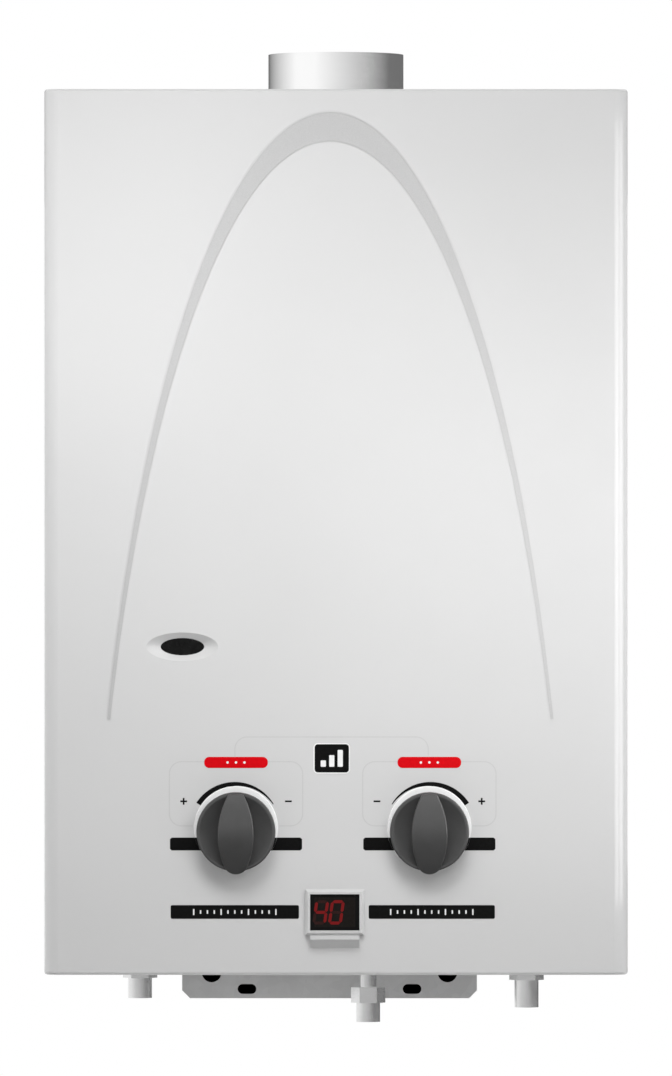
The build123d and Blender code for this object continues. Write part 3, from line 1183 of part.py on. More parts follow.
PIECES = {
    "front_cover": front_cover,
    "back_panel": back_panel,
    "bottom_plate": bottom_plate,
    "cover_screws": cover_screws,
    "arch_trim": arch_trim,
    "sight_glass": sight_glass,
    "sight_frame": sight_frame,
    "knob_rings": knob_rings,
    "gas_knob": lambda: knob(GAS_KNOB_X),
    "water_knob": lambda: knob(WATER_KNOB_X),
    "gas_spindle": lambda: spindle(GAS_KNOB_X),
    "water_spindle": lambda: spindle(WATER_KNOB_X),
    "display_bezel": display_bezel,
    "display_lens": display_lens,
    "display_module": display_module,
    "display_board": display_board,
    "flue_collar": flue_collar,
    "draught_hood": draught_hood,
    "combustion_chamber": combustion_chamber,
    "fin_pack": fin_pack,
    "exchanger_tube": exchanger_tube,
    "jacket_coil": jacket_coil,
    "chamber_brackets": chamber_brackets,
    "burner_frame": burner_frame,
    "burner_blades": burner_blades,
    "gas_manifold": gas_manifold,
    "injectors": injectors,
    "electrode_bracket": electrode_bracket,
    "electrode_ceramics": electrode_ceramics,
    "electrode_tips": electrode_tips,
    "electrode_boots": electrode_boots,
    "electrode_leads": electrode_leads,
    "igniter_box": igniter_box,
    "gas_valve_body": gas_valve_body,
    "gas_poppet": gas_poppet,
    "poppet_spring": poppet_spring,
    "push_rod": push_rod,
    "water_valve_body": water_valve_body,
    "diaphragm": diaphragm,
    "diaphragm_cover": diaphragm_cover,
    "diaphragm_screws": diaphragm_screws,
    "valve_spacers": valve_spacers,
    "valve_bracket": valve_bracket,
    "microswitch": microswitch,
    "microswitch_lever": microswitch_lever,
    "gas_inlet_pipe": gas_inlet_pipe,
    "gas_union_nut": gas_union_nut,
    "gas_inlet_tail": gas_inlet_tail,
    "gas_feed_pipe": gas_feed_pipe,
    "fitting_lock_nuts": fitting_lock_nuts,
    "cold_inlet_pipe": cold_inlet_pipe,
    "cold_riser": cold_riser,
    "hot_pipe": hot_pipe,
    "temperature_probe": temperature_probe,
    "overheat_cutout": overheat_cutout,
    "drain_plug": drain_plug,
    "battery_box": battery_box,
    "battery_door": battery_door,
    "battery_cells": battery_cells,
    "battery_contacts": battery_contacts,
}

os.makedirs("parts", exist_ok=True)
for name, make in PIECES.items():
    export_step(make(), f"parts/{name}.step")
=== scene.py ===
import json
import math

import bmesh
import bpy
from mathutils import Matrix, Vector

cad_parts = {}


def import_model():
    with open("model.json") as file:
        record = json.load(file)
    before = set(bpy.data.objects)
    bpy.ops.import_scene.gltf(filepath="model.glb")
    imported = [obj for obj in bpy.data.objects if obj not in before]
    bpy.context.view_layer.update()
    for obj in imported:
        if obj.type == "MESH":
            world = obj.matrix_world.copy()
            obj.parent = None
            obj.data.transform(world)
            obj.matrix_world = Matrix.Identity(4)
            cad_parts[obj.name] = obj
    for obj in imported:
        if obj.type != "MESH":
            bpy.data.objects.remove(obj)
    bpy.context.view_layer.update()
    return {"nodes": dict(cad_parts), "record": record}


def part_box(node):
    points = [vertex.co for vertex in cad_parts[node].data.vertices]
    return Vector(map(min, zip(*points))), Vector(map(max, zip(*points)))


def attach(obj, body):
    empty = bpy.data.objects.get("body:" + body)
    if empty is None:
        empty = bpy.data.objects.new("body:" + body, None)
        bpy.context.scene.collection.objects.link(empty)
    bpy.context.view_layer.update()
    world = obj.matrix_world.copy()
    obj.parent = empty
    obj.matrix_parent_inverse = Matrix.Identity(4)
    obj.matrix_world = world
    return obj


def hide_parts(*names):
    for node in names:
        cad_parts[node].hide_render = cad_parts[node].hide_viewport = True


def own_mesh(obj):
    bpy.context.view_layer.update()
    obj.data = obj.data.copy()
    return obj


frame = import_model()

# Looks of a wall-hung gas water heater: materials, printed marks, studio and camera.
# Everything is in metres, with the front facing -Y and the wall at Y 0.

MM = 0.001
BODY = "casing"


def middle(node):
    """The middle of a CAD node's box."""
    low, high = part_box(node)
    return (low + high) / 2


# Places on the front, from the CAD nodes
FACE_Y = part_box("front_cover")[0].y
RING_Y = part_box("knob_rings")[0].y
LENS_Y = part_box("display_lens")[0].y
CASE_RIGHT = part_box("front_cover")[1].x
GAS_KNOB = middle("gas_knob")
WATER_KNOB = middle("water_knob")
KNOB_R = (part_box("gas_knob")[1].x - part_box("gas_knob")[0].x) / 2
RING_R = (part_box("knob_rings")[1].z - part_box("knob_rings")[0].z) / 2
RING_Z = middle("knob_rings").z
SCREEN = middle("display_lens")

# Layers of print: how thick one is, how far it reaches into the face, and faces for a second and third layer
INK = 0.06 * MM
INK_SINK = 0.02 * MM
OVER_ONE = FACE_Y - INK
OVER_TWO = FACE_Y - 2 * INK

# Arc over each knob
ARC_R = 22.1 * MM
ARC_UP = 2.2 * MM
ARC_THICK = 2.8 * MM
ARC_THIN = 0.45 * MM
ARC_TAPER = 1.6
ARC_HALF = math.radians(57)

# Bar across each knob
BAR_HALF_L = 32.8 * MM
BAR_HALF_H = 3.2 * MM
BAR_DROP = 5.5 * MM
BAR_CORNER = 0.9 * MM
BAR_GAP = 0.05 * MM  # from the ring's edge to the bar on the cover
BAR_TUCK = 1.5 * MM  # how far the bar on the ring goes in under the knob

# Faint frame round each knob
FIELD_HALF_L = 33.1 * MM
FIELD_TOP = 35.4 * MM
FIELD_FOOT = 3.5 * MM
FIELD_CORNER = 6.0 * MM
FIELD_LINE = 0.55 * MM

# Pill with three dots over each knob
PILL_HALF_L = 15.8 * MM
PILL_HALF_H = 2.75 * MM
PILL_CORNER = PILL_HALF_H * 0.9
PILL_UP = 35.0 * MM
PILL_DOT_R = 0.6 * MM
PILL_DOT_STEP = 4.2 * MM

# Plus and minus beside each arc
SIGN_OUT = 26.0 * MM
SIGN_UP = 15.7 * MM
SIGN_HALF_L = 1.7 * MM
SIGN_HALF_H = 0.42 * MM

# Line that joins the two knob frames
BRIDGE_Z = -101.8 * MM
BRIDGE_HALF_L = 48.0 * MM
BRIDGE_MID_X = -2.2 * MM
BRIDGE_CORNER = 6.0 * MM
BRIDGE_FOOT = -111.4 * MM

# Badge between the knobs, with three rising bars
BADGE_X = -2.1 * MM
BADGE_Z = -112.4 * MM
BADGE_HALF_L = 8.5 * MM
BADGE_HALF_H = 7.0 * MM
BADGE_CORNER = 1.6 * MM
BADGE_EDGE = 0.6 * MM
BADGE_BAR_HALF_W = 1.3 * MM
BADGE_BAR_HEIGHTS = (3.2 * MM, 5.8 * MM, 8.4 * MM)
BADGE_BAR_STEP = 4.2 * MM
BADGE_BAR_DROP = 4.2 * MM
BADGE_BAR_CORNER = 0.4 * MM

# Label bars beside the display, with ticks
LABEL_Z = -188.7 * MM
LABEL_HALF_H = 3.4 * MM
LABEL_SPANS = ((-82.1 * MM, -18.4 * MM), (16.2 * MM, 78.9 * MM))
LABEL_CORNER = 0.8 * MM
TICKS = 13
TICK_STEP = 3.4 * MM
TICK_HALF_W = 0.35 * MM
TICK_HALF_H = 0.9 * MM
TICK_CORNER = 0.2 * MM
TALL_TICK_HALF_H = 1.5 * MM
TALL_TICK_EVERY = 4

# Window and figures of the display
WINDOW_HALF_L = 10.2 * MM
WINDOW_HALF_H = 7.4 * MM
WINDOW_CORNER = 0.6 * MM
DIGIT_W = 5.4 * MM
DIGIT_H = 10.6 * MM
DIGIT_STEP = 7.8 * MM
DIGIT_LINE = 1.5 * MM
DIGIT_LEAN = 0.14
DIGITS_X = -7.0 * MM
SEGMENT_GAP = 0.12 * MM
LIT_SEGMENTS = ("bcfg", "abcdef")
ALL_SEGMENTS = "abcdefg"

# Holes in the wall tab, and the dark patches of painted shade behind them
TAB_X = -3.3 * MM
SLOT_OUT = 42.0 * MM
SLOT_Z = -232.5 * MM
HOLE_OUT = 60.0 * MM
HOLE_Z = -224.1 * MM
SLOT_PATCH_HALF_L = 5.6 * MM
SLOT_PATCH_HALF_H = 3.4 * MM
SLOT_PATCH_CORNER = 3.0 * MM
HOLE_PATCH_R = 5.8 * MM
PATCH_BEHIND = 0.4 * MM

# Camera, floor and lamps
CAMERA_Y = -5.125
CAMERA_Z = -0.003
CAMERA_LENS = 336.9
CAMERA_SENSOR = 36.0
FLOOR_Y = -0.06
FLOOR_Z = -0.45
FLOOR_R = 1.3
FLOOR_SIDES = 96
AMBIENT = 0.22
SMALL_LAMP_R = 0.10
FACE_MIDDLE = (0.0, FACE_Y, 0.0)
WALL_MIDDLE = (0.0, 0.0, 0.0)

# Boards that only reflections see
FLAG_R = 1.6
FLAG_NEAR_Z = 0.22
FLAG_FAR_Z = 0.9
FLOOR_FLAG_HALF_W = 1.1
FLOOR_FLAG_FRONT = -1.2
FLOOR_FLAG_BACK = -0.02
FLOOR_FLAG_Z = FLOOR_Z + 5 * MM
FLOOR_FLAG_STRENGTH = 0.06
BEND_R = 7.0 * MM  # the casing's upright front edges
STRIP_NEAR = 0.15
STRIP_LOW = -0.19
STRIP_HIGH = 0.21

# Most values of a noise texture lie between these two
NOISE_LOW = 0.3
NOISE_HIGH = 0.7


# Shader helpers

def start(name, colour, roughness, metallic=0.0):
    """A new material of one colour; returns it and its shader."""
    material = bpy.data.materials.new(name)
    material.use_nodes = True
    material.diffuse_color = (*colour, 1.0)
    shader = material.node_tree.nodes["Principled BSDF"]
    shader.inputs["Base Color"].default_value = (*colour, 1.0)
    shader.inputs["Roughness"].default_value = roughness
    shader.inputs["Metallic"].default_value = metallic
    return material, shader


def place(material, stretch=(1.0, 1.0, 1.0)):
    """Object coordinates, in metres, multiplied along the axes."""
    tree = material.node_tree
    coords = tree.nodes.new("ShaderNodeTexCoord")
    mapping = tree.nodes.new("ShaderNodeMapping")
    mapping.inputs["Scale"].default_value = stretch
    tree.links.new(coords.outputs["Object"], mapping.inputs["Vector"])
    return mapping.outputs["Vector"]


def noise(material, scale, detail=2.0, stretch=(1.0, 1.0, 1.0)):
    """Smooth random values; the scale is in waves per metre, about."""
    tree = material.node_tree
    texture = tree.nodes.new("ShaderNodeTexNoise")
    texture.inputs["Scale"].default_value = scale
    texture.inputs["Detail"].default_value = detail
    tree.links.new(place(material, stretch), texture.inputs["Vector"])
    return texture.outputs[0]


def cells(material, scale):
    """One random value per cell, as in the crystals of hot-dip zinc."""
    tree = material.node_tree
    texture = tree.nodes.new("ShaderNodeTexVoronoi")
    texture.inputs["Scale"].default_value = scale
    tree.links.new(place(material), texture.inputs["Vector"])
    split = tree.nodes.new("ShaderNodeSeparateColor")
    tree.links.new(texture.outputs["Color"], split.inputs[0])
    return split.outputs[0]


def tint(material, shader, value, dark, light, low=NOISE_LOW, high=NOISE_HIGH):
    """The base colour runs from dark to light as the value goes from low to high."""
    tree = material.node_tree
    ramp = tree.nodes.new("ShaderNodeValToRGB")
    ramp.color_ramp.elements[0].position = low
    ramp.color_ramp.elements[0].color = (*dark, 1.0)
    ramp.color_ramp.elements[1].position = high
    ramp.color_ramp.elements[1].color = (*light, 1.0)
    tree.links.new(value, ramp.inputs[0])
    tree.links.new(ramp.outputs[0], shader.inputs["Base Color"])


def polish(material, shader, value, smooth, rough):
    """The roughness runs from smooth to rough with the value."""
    tree = material.node_tree
    spread = tree.nodes.new("ShaderNodeMapRange")
    spread.inputs["From Min"].default_value = NOISE_LOW
    spread.inputs["From Max"].default_value = NOISE_HIGH
    spread.inputs["To Min"].default_value = smooth
    spread.inputs["To Max"].default_value = rough
    tree.links.new(value, spread.inputs["Value"])
    tree.links.new(spread.outputs["Result"], shader.inputs["Roughness"])


def relief(material, shader, value, strength, height):
    """Bumps that rise with the value."""
    tree = material.node_tree
    bump = tree.nodes.new("ShaderNodeBump")
    bump.inputs["Strength"].default_value = strength
    bump.inputs["Distance"].default_value = height
    tree.links.new(value, bump.inputs["Height"])
    tree.links.new(bump.outputs["Normal"], shader.inputs["Normal"])


def grey(value):
    return (value, value, value)


# Materials of the CAD nodes, one for each slot of the record

def white_enamel():
    material, shader = start("white_enamel", grey(0.63), roughness=0.36)
    tint(material, shader, noise(material, 9.0), dark=grey(0.622), light=grey(0.638))
    polish(material, shader, noise(material, 60.0), smooth=0.32, rough=0.42)
    relief(material, shader, noise(material, 750.0, 1.0), strength=0.10, height=0.03 * MM)
    shader.inputs["Coat Weight"].default_value = 0.6
    shader.inputs["Coat Roughness"].default_value = 0.08
    return material


def silver_paint():
    material, shader = start("silver_paint", grey(0.52), roughness=0.45, metallic=0.15)
    tint(material, shader, cells(material, 5000.0), dark=grey(0.49), light=grey(0.55), low=0.0, high=1.0)
    polish(material, shader, noise(material, 300.0), smooth=0.40, rough=0.52)
    relief(material, shader, noise(material, 2200.0, 1.0), strength=0.10, height=0.02 * MM)
    return material


def galvanised_steel():
    material, shader = start("galvanised_steel", grey(0.66), roughness=0.48, metallic=0.4)
    tint(material, shader, cells(material, 260.0), dark=grey(0.64), light=grey(0.68), low=0.0, high=1.0)
    polish(material, shader, noise(material, 90.0, 4.0), smooth=0.44, rough=0.54)
    relief(material, shader, noise(material, 500.0, 3.0), strength=0.12, height=0.03 * MM)
    return material


def polished_steel():
    material, shader = start("polished_steel", grey(0.95), roughness=0.11, metallic=1.0)
    tint(material, shader, noise(material, 30.0, 3.0), dark=grey(0.93), light=grey(0.97))
    smears = noise(material, 60.0, 4.0, stretch=(1.0, 1.0, 30.0))
    polish(material, shader, smears, smooth=0.08, rough=0.14)
    brushing = noise(material, 40.0, 2.0, stretch=(1.0, 1.0, 60.0))
    relief(material, shader, brushing, strength=0.04, height=0.02 * MM)
    return material


def copper():
    material, shader = start("copper", (0.72, 0.36, 0.22), roughness=0.36, metallic=1.0)
    tint(material, shader, noise(material, 45.0, 4.0), dark=(0.56, 0.25, 0.14), light=(0.78, 0.42, 0.27))
    polish(material, shader, noise(material, 160.0, 3.0), smooth=0.28, rough=0.48)
    relief(material, shader, noise(material, 900.0, 2.0), strength=0.06, height=0.03 * MM)
    return material


def plated_fittings():
    material, shader = start("plated_fittings", grey(0.80), roughness=0.22, metallic=0.9)
    tint(material, shader, noise(material, 60.0, 2.0), dark=grey(0.77), light=grey(0.83))
    polish(material, shader, noise(material, 90.0, 2.0), smooth=0.20, rough=0.25)
    turning = noise(material, 50.0, 2.0, stretch=(1.0, 1.0, 40.0))
    relief(material, shader, turning, strength=0.03, height=0.02 * MM)
    return material


def brass():
    material, shader = start("brass", (0.66, 0.50, 0.24), roughness=0.36, metallic=1.0)
    tint(material, shader, noise(material, 110.0, 3.0), dark=(0.54, 0.39, 0.17), light=(0.71, 0.55, 0.28))
    polish(material, shader, noise(material, 300.0, 2.0), smooth=0.28, rough=0.46)
    relief(material, shader, noise(material, 700.0, 2.0), strength=0.08, height=0.03 * MM)
    return material


def cast_aluminium():
    material, shader = start("cast_aluminium", grey(0.52), roughness=0.52, metallic=0.9)
    tint(material, shader, noise(material, 120.0, 4.0), dark=grey(0.45), light=grey(0.57))
    polish(material, shader, noise(material, 500.0, 2.0), smooth=0.44, rough=0.64)
    relief(material, shader, noise(material, 900.0, 3.0), strength=0.35, height=0.08 * MM)
    return material


def burner_steel():
    material, shader = start("burner_steel", grey(0.42), roughness=0.42, metallic=0.95)
    tint(material, shader, noise(material, 70.0, 4.0), dark=(0.31, 0.29, 0.28), light=(0.47, 0.46, 0.45))
    polish(material, shader, noise(material, 200.0, 3.0), smooth=0.34, rough=0.52)
    rolling = noise(material, 60.0, 2.0, stretch=(30.0, 1.0, 1.0))
    relief(material, shader, rolling, strength=0.08, height=0.03 * MM)
    return material


def bright_steel():
    material, shader = start("bright_steel", grey(0.58), roughness=0.30, metallic=1.0)
    tint(material, shader, noise(material, 200.0, 3.0), dark=grey(0.52), light=grey(0.63))
    polish(material, shader, noise(material, 500.0, 2.0), smooth=0.22, rough=0.38)
    relief(material, shader, noise(material, 900.0, 1.0), strength=0.05, height=0.02 * MM)
    return material


def white_ceramic():
    material, shader = start("white_ceramic", (0.85, 0.84, 0.80), roughness=0.22)
    tint(material, shader, noise(material, 300.0, 3.0), dark=(0.80, 0.78, 0.73), light=(0.87, 0.86, 0.83))
    relief(material, shader, noise(material, 1200.0, 1.0), strength=0.08, height=0.02 * MM)
    shader.inputs["Coat Weight"].default_value = 0.4
    return material


def black_rubber():
    material, shader = start("black_rubber", grey(0.03), roughness=0.72)
    tint(material, shader, noise(material, 200.0, 3.0), dark=grey(0.022), light=grey(0.040))
    polish(material, shader, noise(material, 500.0, 2.0), smooth=0.62, rough=0.82)
    relief(material, shader, noise(material, 1500.0, 2.0), strength=0.20, height=0.04 * MM)
    return material


def black_plastic():
    material, shader = start("black_plastic", grey(0.03), roughness=0.55)
    tint(material, shader, noise(material, 160.0, 3.0), dark=grey(0.024), light=grey(0.036))
    polish(material, shader, noise(material, 700.0, 2.0), smooth=0.48, rough=0.62)
    relief(material, shader, noise(material, 1800.0, 2.0), strength=0.25, height=0.04 * MM)
    return material


def knob_plastic():
    material, shader = start("knob_plastic", grey(0.058), roughness=0.33)
    tint(material, shader, noise(material, 120.0, 3.0), dark=grey(0.054), light=grey(0.062))
    polish(material, shader, noise(material, 900.0, 2.0), smooth=0.29, rough=0.37)
    relief(material, shader, noise(material, 1900.0, 2.0), strength=0.12, height=0.03 * MM)
    shader.inputs["Specular IOR Level"].default_value = 0.55
    return material


def white_plastic():
    material, shader = start("white_plastic", grey(0.94), roughness=0.40)
    tint(material, shader, noise(material, 50.0), dark=grey(0.93), light=grey(0.95))
    polish(material, shader, noise(material, 600.0, 2.0), smooth=0.36, rough=0.46)
    relief(material, shader, noise(material, 1800.0, 2.0), strength=0.08, height=0.02 * MM)
    return material


def silver_plastic():
    material, shader = start("silver_plastic", grey(0.66), roughness=0.34, metallic=0.25)
    tint(material, shader, cells(material, 6000.0), dark=grey(0.63), light=grey(0.69), low=0.0, high=1.0)
    polish(material, shader, noise(material, 500.0), smooth=0.30, rough=0.40)
    relief(material, shader, noise(material, 2400.0, 1.0), strength=0.06, height=0.02 * MM)
    return material


def screen_plastic():
    material, shader = start("screen_plastic", grey(0.005), roughness=0.16)
    tint(material, shader, noise(material, 90.0), dark=grey(0.004), light=grey(0.006))
    polish(material, shader, noise(material, 250.0, 3.0), smooth=0.12, rough=0.22)
    relief(material, shader, noise(material, 700.0, 1.0), strength=0.02, height=0.01 * MM)
    shader.inputs["Specular IOR Level"].default_value = 0.08
    return material


def board_laminate():
    material, shader = start("board_laminate", (0.05, 0.25, 0.10), roughness=0.45)
    weave = noise(material, 700.0, 3.0, stretch=(1.0, 1.0, 3.0))
    tint(material, shader, weave, dark=(0.035, 0.19, 0.07), light=(0.06, 0.29, 0.12))
    relief(material, shader, noise(material, 1500.0, 2.0), strength=0.15, height=0.03 * MM)
    shader.inputs["Coat Weight"].default_value = 0.3
    return material


def dark_mica():
    material, shader = start("dark_mica", grey(0.006), roughness=0.24)
    tint(material, shader, noise(material, 220.0, 4.0), dark=grey(0.004), light=grey(0.009))
    polish(material, shader, noise(material, 350.0, 3.0), smooth=0.20, rough=0.32)
    relief(material, shader, noise(material, 400.0, 3.0), strength=0.05, height=0.02 * MM)
    shader.inputs["Specular IOR Level"].default_value = 0.08
    return material


def cell_jacket():
    material, shader = start("cell_jacket", (0.20, 0.24, 0.32), roughness=0.30, metallic=0.4)
    tint(material, shader, noise(material, 80.0, 3.0), dark=(0.16, 0.20, 0.28), light=(0.23, 0.27, 0.35))
    polish(material, shader, noise(material, 400.0), smooth=0.24, rough=0.38)
    relief(material, shader, noise(material, 900.0, 1.0), strength=0.05, height=0.02 * MM)
    return material


# Printed ink and the glow of the display

def ink(name, colour, spread):
    """Print of one colour, which varies by the spread either way."""
    material, shader = start(name, colour, roughness=0.5)
    shader.inputs["Specular IOR Level"].default_value = 0.06
    dark = tuple(channel * (1 - spread) for channel in colour)
    light = tuple(channel * (1 + spread) for channel in colour)
    tint(material, shader, noise(material, 800.0, 3.0), dark, light)
    polish(material, shader, noise(material, 1500.0, 2.0), smooth=0.44, rough=0.58)
    relief(material, shader, noise(material, 2500.0, 1.0), strength=0.08, height=0.01 * MM)
    return material


def glow(name, colour, strength):
    """A dark red plastic that gives its own light."""
    material, shader = start(name, (0.02, 0.004, 0.004), roughness=0.4)
    tint(material, shader, noise(material, 900.0), dark=(0.015, 0.003, 0.003), light=(0.025, 0.005, 0.005))
    shader.inputs["Specular IOR Level"].default_value = 0.1
    shader.inputs["Emission Color"].default_value = (*colour, 1.0)
    shader.inputs["Emission Strength"].default_value = strength
    return material


# The CAD nodes

def dress_nodes():
    """Each node gets the material of its slot; a material's function has the slot's name."""
    builders = (
        white_enamel, silver_paint, galvanised_steel, polished_steel, copper, plated_fittings, brass,
        cast_aluminium, burner_steel, bright_steel, white_ceramic, black_rubber, black_plastic, knob_plastic,
        white_plastic, silver_plastic, screen_plastic, board_laminate, dark_mica, cell_jacket)
    finishes = {build.__name__: build() for build in builders}
    for part in frame["record"]["subparts"]:
        mesh = frame["nodes"][part["node"]].data
        mesh.materials.clear()
        mesh.materials.append(finishes[part["material_slot"]])


def poppet_coil():
    """A copy of the poppet spring with a mesh of its own, which rides on the casing in place of the hidden
    CAD node.
    """
    coil = bpy.data.objects.new("poppet_coil", frame["nodes"]["poppet_spring"].data.copy())
    bpy.context.scene.collection.objects.link(coil)
    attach(coil, BODY)
    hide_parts("poppet_spring")
    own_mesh(coil)


# Mesh helpers; a printed mark is a thin solid that lies on a face towards -Y

def new_object(name, made, material):
    """An object in the scene from the mesh that was made."""
    mesh = bpy.data.meshes.new(name)
    made.to_mesh(mesh)
    made.free()
    mesh.materials.append(material)
    piece = bpy.data.objects.new(name, mesh)
    bpy.context.scene.collection.objects.link(piece)
    return piece


def keep(name, made, material):
    """A finished mark, which moves with the casing."""
    bmesh.ops.recalc_face_normals(made, faces=made.faces)
    piece = new_object(name, made, material)
    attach(piece, BODY)


def add_plate(made, outline, face_y):
    """A thin plate with this outline."""
    front = [made.verts.new((x, face_y - INK, z)) for x, z in outline]
    back = [made.verts.new((x, face_y + INK_SINK, z)) for x, z in outline]
    made.faces.new(front)
    made.faces.new(reversed(back))
    for i in range(len(outline)):
        j = (i + 1) % len(outline)
        made.faces.new((front[i], back[i], back[j], front[j]))


def add_strip(made, one_side, other_side, face_y):
    """A band between two lines of points, for shapes that bend."""
    front_y = face_y - INK
    back_y = face_y + INK_SINK
    rows = []
    for (x0, z0), (x1, z1) in zip(one_side, other_side):
        section = ((x0, front_y, z0), (x1, front_y, z1), (x1, back_y, z1), (x0, back_y, z0))
        rows.append([made.verts.new(corner) for corner in section])
    for here, there in zip(rows, rows[1:]):
        for i in range(4):
            j = (i + 1) % 4
            made.faces.new((here[i], here[j], there[j], there[i]))
    made.faces.new(rows[0])
    made.faces.new(rows[-1])


def plates(name, outlines, material, face_y=FACE_Y):
    """One mark made of plates."""
    made = bmesh.new()
    for outline in outlines:
        add_plate(made, outline, face_y)
    keep(name, made, material)


def strips(name, pairs, material, face_y=FACE_Y):
    """One mark made of bands, each given by its two sides."""
    made = bmesh.new()
    for one_side, other_side in pairs:
        add_strip(made, one_side, other_side, face_y)
    keep(name, made, material)


def arc(x, z, radius, start_angle, end_angle, steps):
    """Points round a centre; angles run from straight up, clockwise as seen from the front."""
    points = []
    for i in range(steps + 1):
        angle = start_angle + (end_angle - start_angle) * i / steps
        points.append((x + radius * math.sin(angle), z + radius * math.cos(angle)))
    return points


def rounded(x, z, half_l, half_h, corner, steps=6):
    """A rectangle with round corners, clockwise from its top right corner."""
    points = []
    for turn, (side, up) in enumerate(((1, 1), (1, -1), (-1, -1), (-1, 1))):
        begin = turn * math.pi / 2
        points += arc(x + side * (half_l - corner), z + up * (half_h - corner), corner,
                      begin, begin + math.pi / 2, steps)
    return points


def disc(x, z, radius, steps=24):
    return arc(x, z, radius, 0.0, 2 * math.pi, steps)[:-1]


def both_sides(path, width):
    """The two edges of a line of constant width along a path."""
    left, right = [], []
    for i, (x, z) in enumerate(path):
        before = Vector(path[max(i - 1, 0)])
        after = Vector(path[min(i + 1, len(path) - 1)])
        along = (after - before).normalized()
        left.append((x - along.y * width / 2, z + along.x * width / 2))
        right.append((x + along.y * width / 2, z - along.x * width / 2))
    return left, right


# Printed marks

def knob_arc(name, x, thick_side, material):
    """An arc over the knob, thick at one end and thin at the other."""
    steps = 40
    inner, outer = [], []
    for i in range(steps + 1):
        angle = thick_side * ARC_HALF * (1 - 2 * i / steps)
        half = (ARC_THIN + (ARC_THICK - ARC_THIN) * (1 - (i / steps) ** ARC_TAPER)) / 2
        for edge, radius in ((inner, ARC_R - half), (outer, ARC_R + half)):
            edge.append((x + radius * math.sin(angle), GAS_KNOB.z + ARC_UP + radius * math.cos(angle)))
    strips(name, [(inner, outer)], material)


def bar_half(x, side, from_r):
    """The two ends of one half of a bar: on a circle round the ring's middle, and at the bar's far end."""
    z0 = GAS_KNOB.z - BAR_DROP - BAR_HALF_H
    z1 = GAS_KNOB.z - BAR_DROP + BAR_HALF_H
    steps = 8
    inner, outer = [], []
    for i in range(steps + 1):
        z = z0 + (z1 - z0) * i / steps
        inner.append((x + side * math.sqrt(from_r ** 2 - (z - RING_Z) ** 2), z))
        edge = min(z - z0, z1 - z)
        cut = max(BAR_CORNER - edge, 0.0)
        outer.append((x + side * (BAR_HALF_L - BAR_CORNER + math.sqrt(BAR_CORNER ** 2 - cut ** 2)), z))
    return inner, outer


def knob_bars(name, x, material):
    """The bar on the cover, from the ring outwards on both sides."""
    halves = [bar_half(x, side, RING_R + BAR_GAP) for side in (-1, 1)]
    strips(name, halves, material)


def ring_bars(name, x, material):
    """The bar goes on over the ring's face, in under the knob."""
    pairs = []
    for side in (-1, 1):
        under_knob = bar_half(x, side, KNOB_R - BAR_TUCK)[0]
        ring_edge = bar_half(x, side, RING_R)[0]
        pairs.append((under_knob, ring_edge))
    strips(name, pairs, material, RING_Y)


def knob_field(name, x, material):
    """A faint rounded frame that runs from one side of the ring round to the other."""
    z = GAS_KNOB.z + (FIELD_TOP + FIELD_FOOT) / 2
    half_h = (FIELD_TOP - FIELD_FOOT) / 2
    around = rounded(x, z, FIELD_HALF_L, half_h, FIELD_CORNER, 8)
    lower_right = len(around) // 2 - 1
    begin = (x - RING_R - FIELD_LINE, z - half_h)
    end = (x + RING_R + FIELD_LINE, z - half_h)
    lower_left_on = around[lower_right + 1:]
    up_to_lower_right = around[:lower_right + 1]
    path = [begin] + lower_left_on + up_to_lower_right + [end]
    strips(name, [both_sides(path, FIELD_LINE)], material)


def bridge_line(name, material):
    """A faint line over the badge, which turns down into the two knob frames."""
    x0 = BRIDGE_MID_X - BRIDGE_HALF_L
    x1 = BRIDGE_MID_X + BRIDGE_HALF_L
    z = BRIDGE_Z - BRIDGE_CORNER
    path = [(x0, BRIDGE_FOOT)]
    path += arc(x0 + BRIDGE_CORNER, z, BRIDGE_CORNER, -math.pi / 2, 0.0, 8)
    path += arc(x1 - BRIDGE_CORNER, z, BRIDGE_CORNER, 0.0, math.pi / 2, 8)
    path += [(x1, BRIDGE_FOOT)]
    strips(name, [both_sides(path, FIELD_LINE)], material)


def plus_outline(x, z):
    """A plus sign: one arm's end and the corner beside it, turned to all four sides."""
    quarter = [(-SIGN_HALF_H, SIGN_HALF_L), (SIGN_HALF_H, SIGN_HALF_L), (SIGN_HALF_H, SIGN_HALF_H)]
    points = []
    for _ in range(4):
        points += [(x + dx, z + dz) for dx, dz in quarter]
        quarter = [(dz, -dx) for dx, dz in quarter]
    return points


def minus_outline(x, z):
    left, right = x - SIGN_HALF_L, x + SIGN_HALF_L
    top, foot = z + SIGN_HALF_H, z - SIGN_HALF_H
    return [(left, top), (right, top), (right, foot), (left, foot)]


def knob_signs(name, x, plus_side, material):
    """A plus at the arc's thick end and a minus at its thin end."""
    z = GAS_KNOB.z + SIGN_UP
    plus = plus_outline(x + plus_side * SIGN_OUT, z)
    minus = minus_outline(x - plus_side * SIGN_OUT, z)
    plates(name, [plus, minus], material)


def pill(name, x, material, dots):
    """A pill on the frame's upper line, with three dots on it."""
    z = GAS_KNOB.z + PILL_UP
    plates(name, [rounded(x, z, PILL_HALF_L, PILL_HALF_H, PILL_CORNER)], material, OVER_ONE)
    spots = [disc(x + step * PILL_DOT_STEP, z, PILL_DOT_R) for step in (-1, 0, 1)]
    plates(name + "_dots", spots, dots, OVER_TWO)


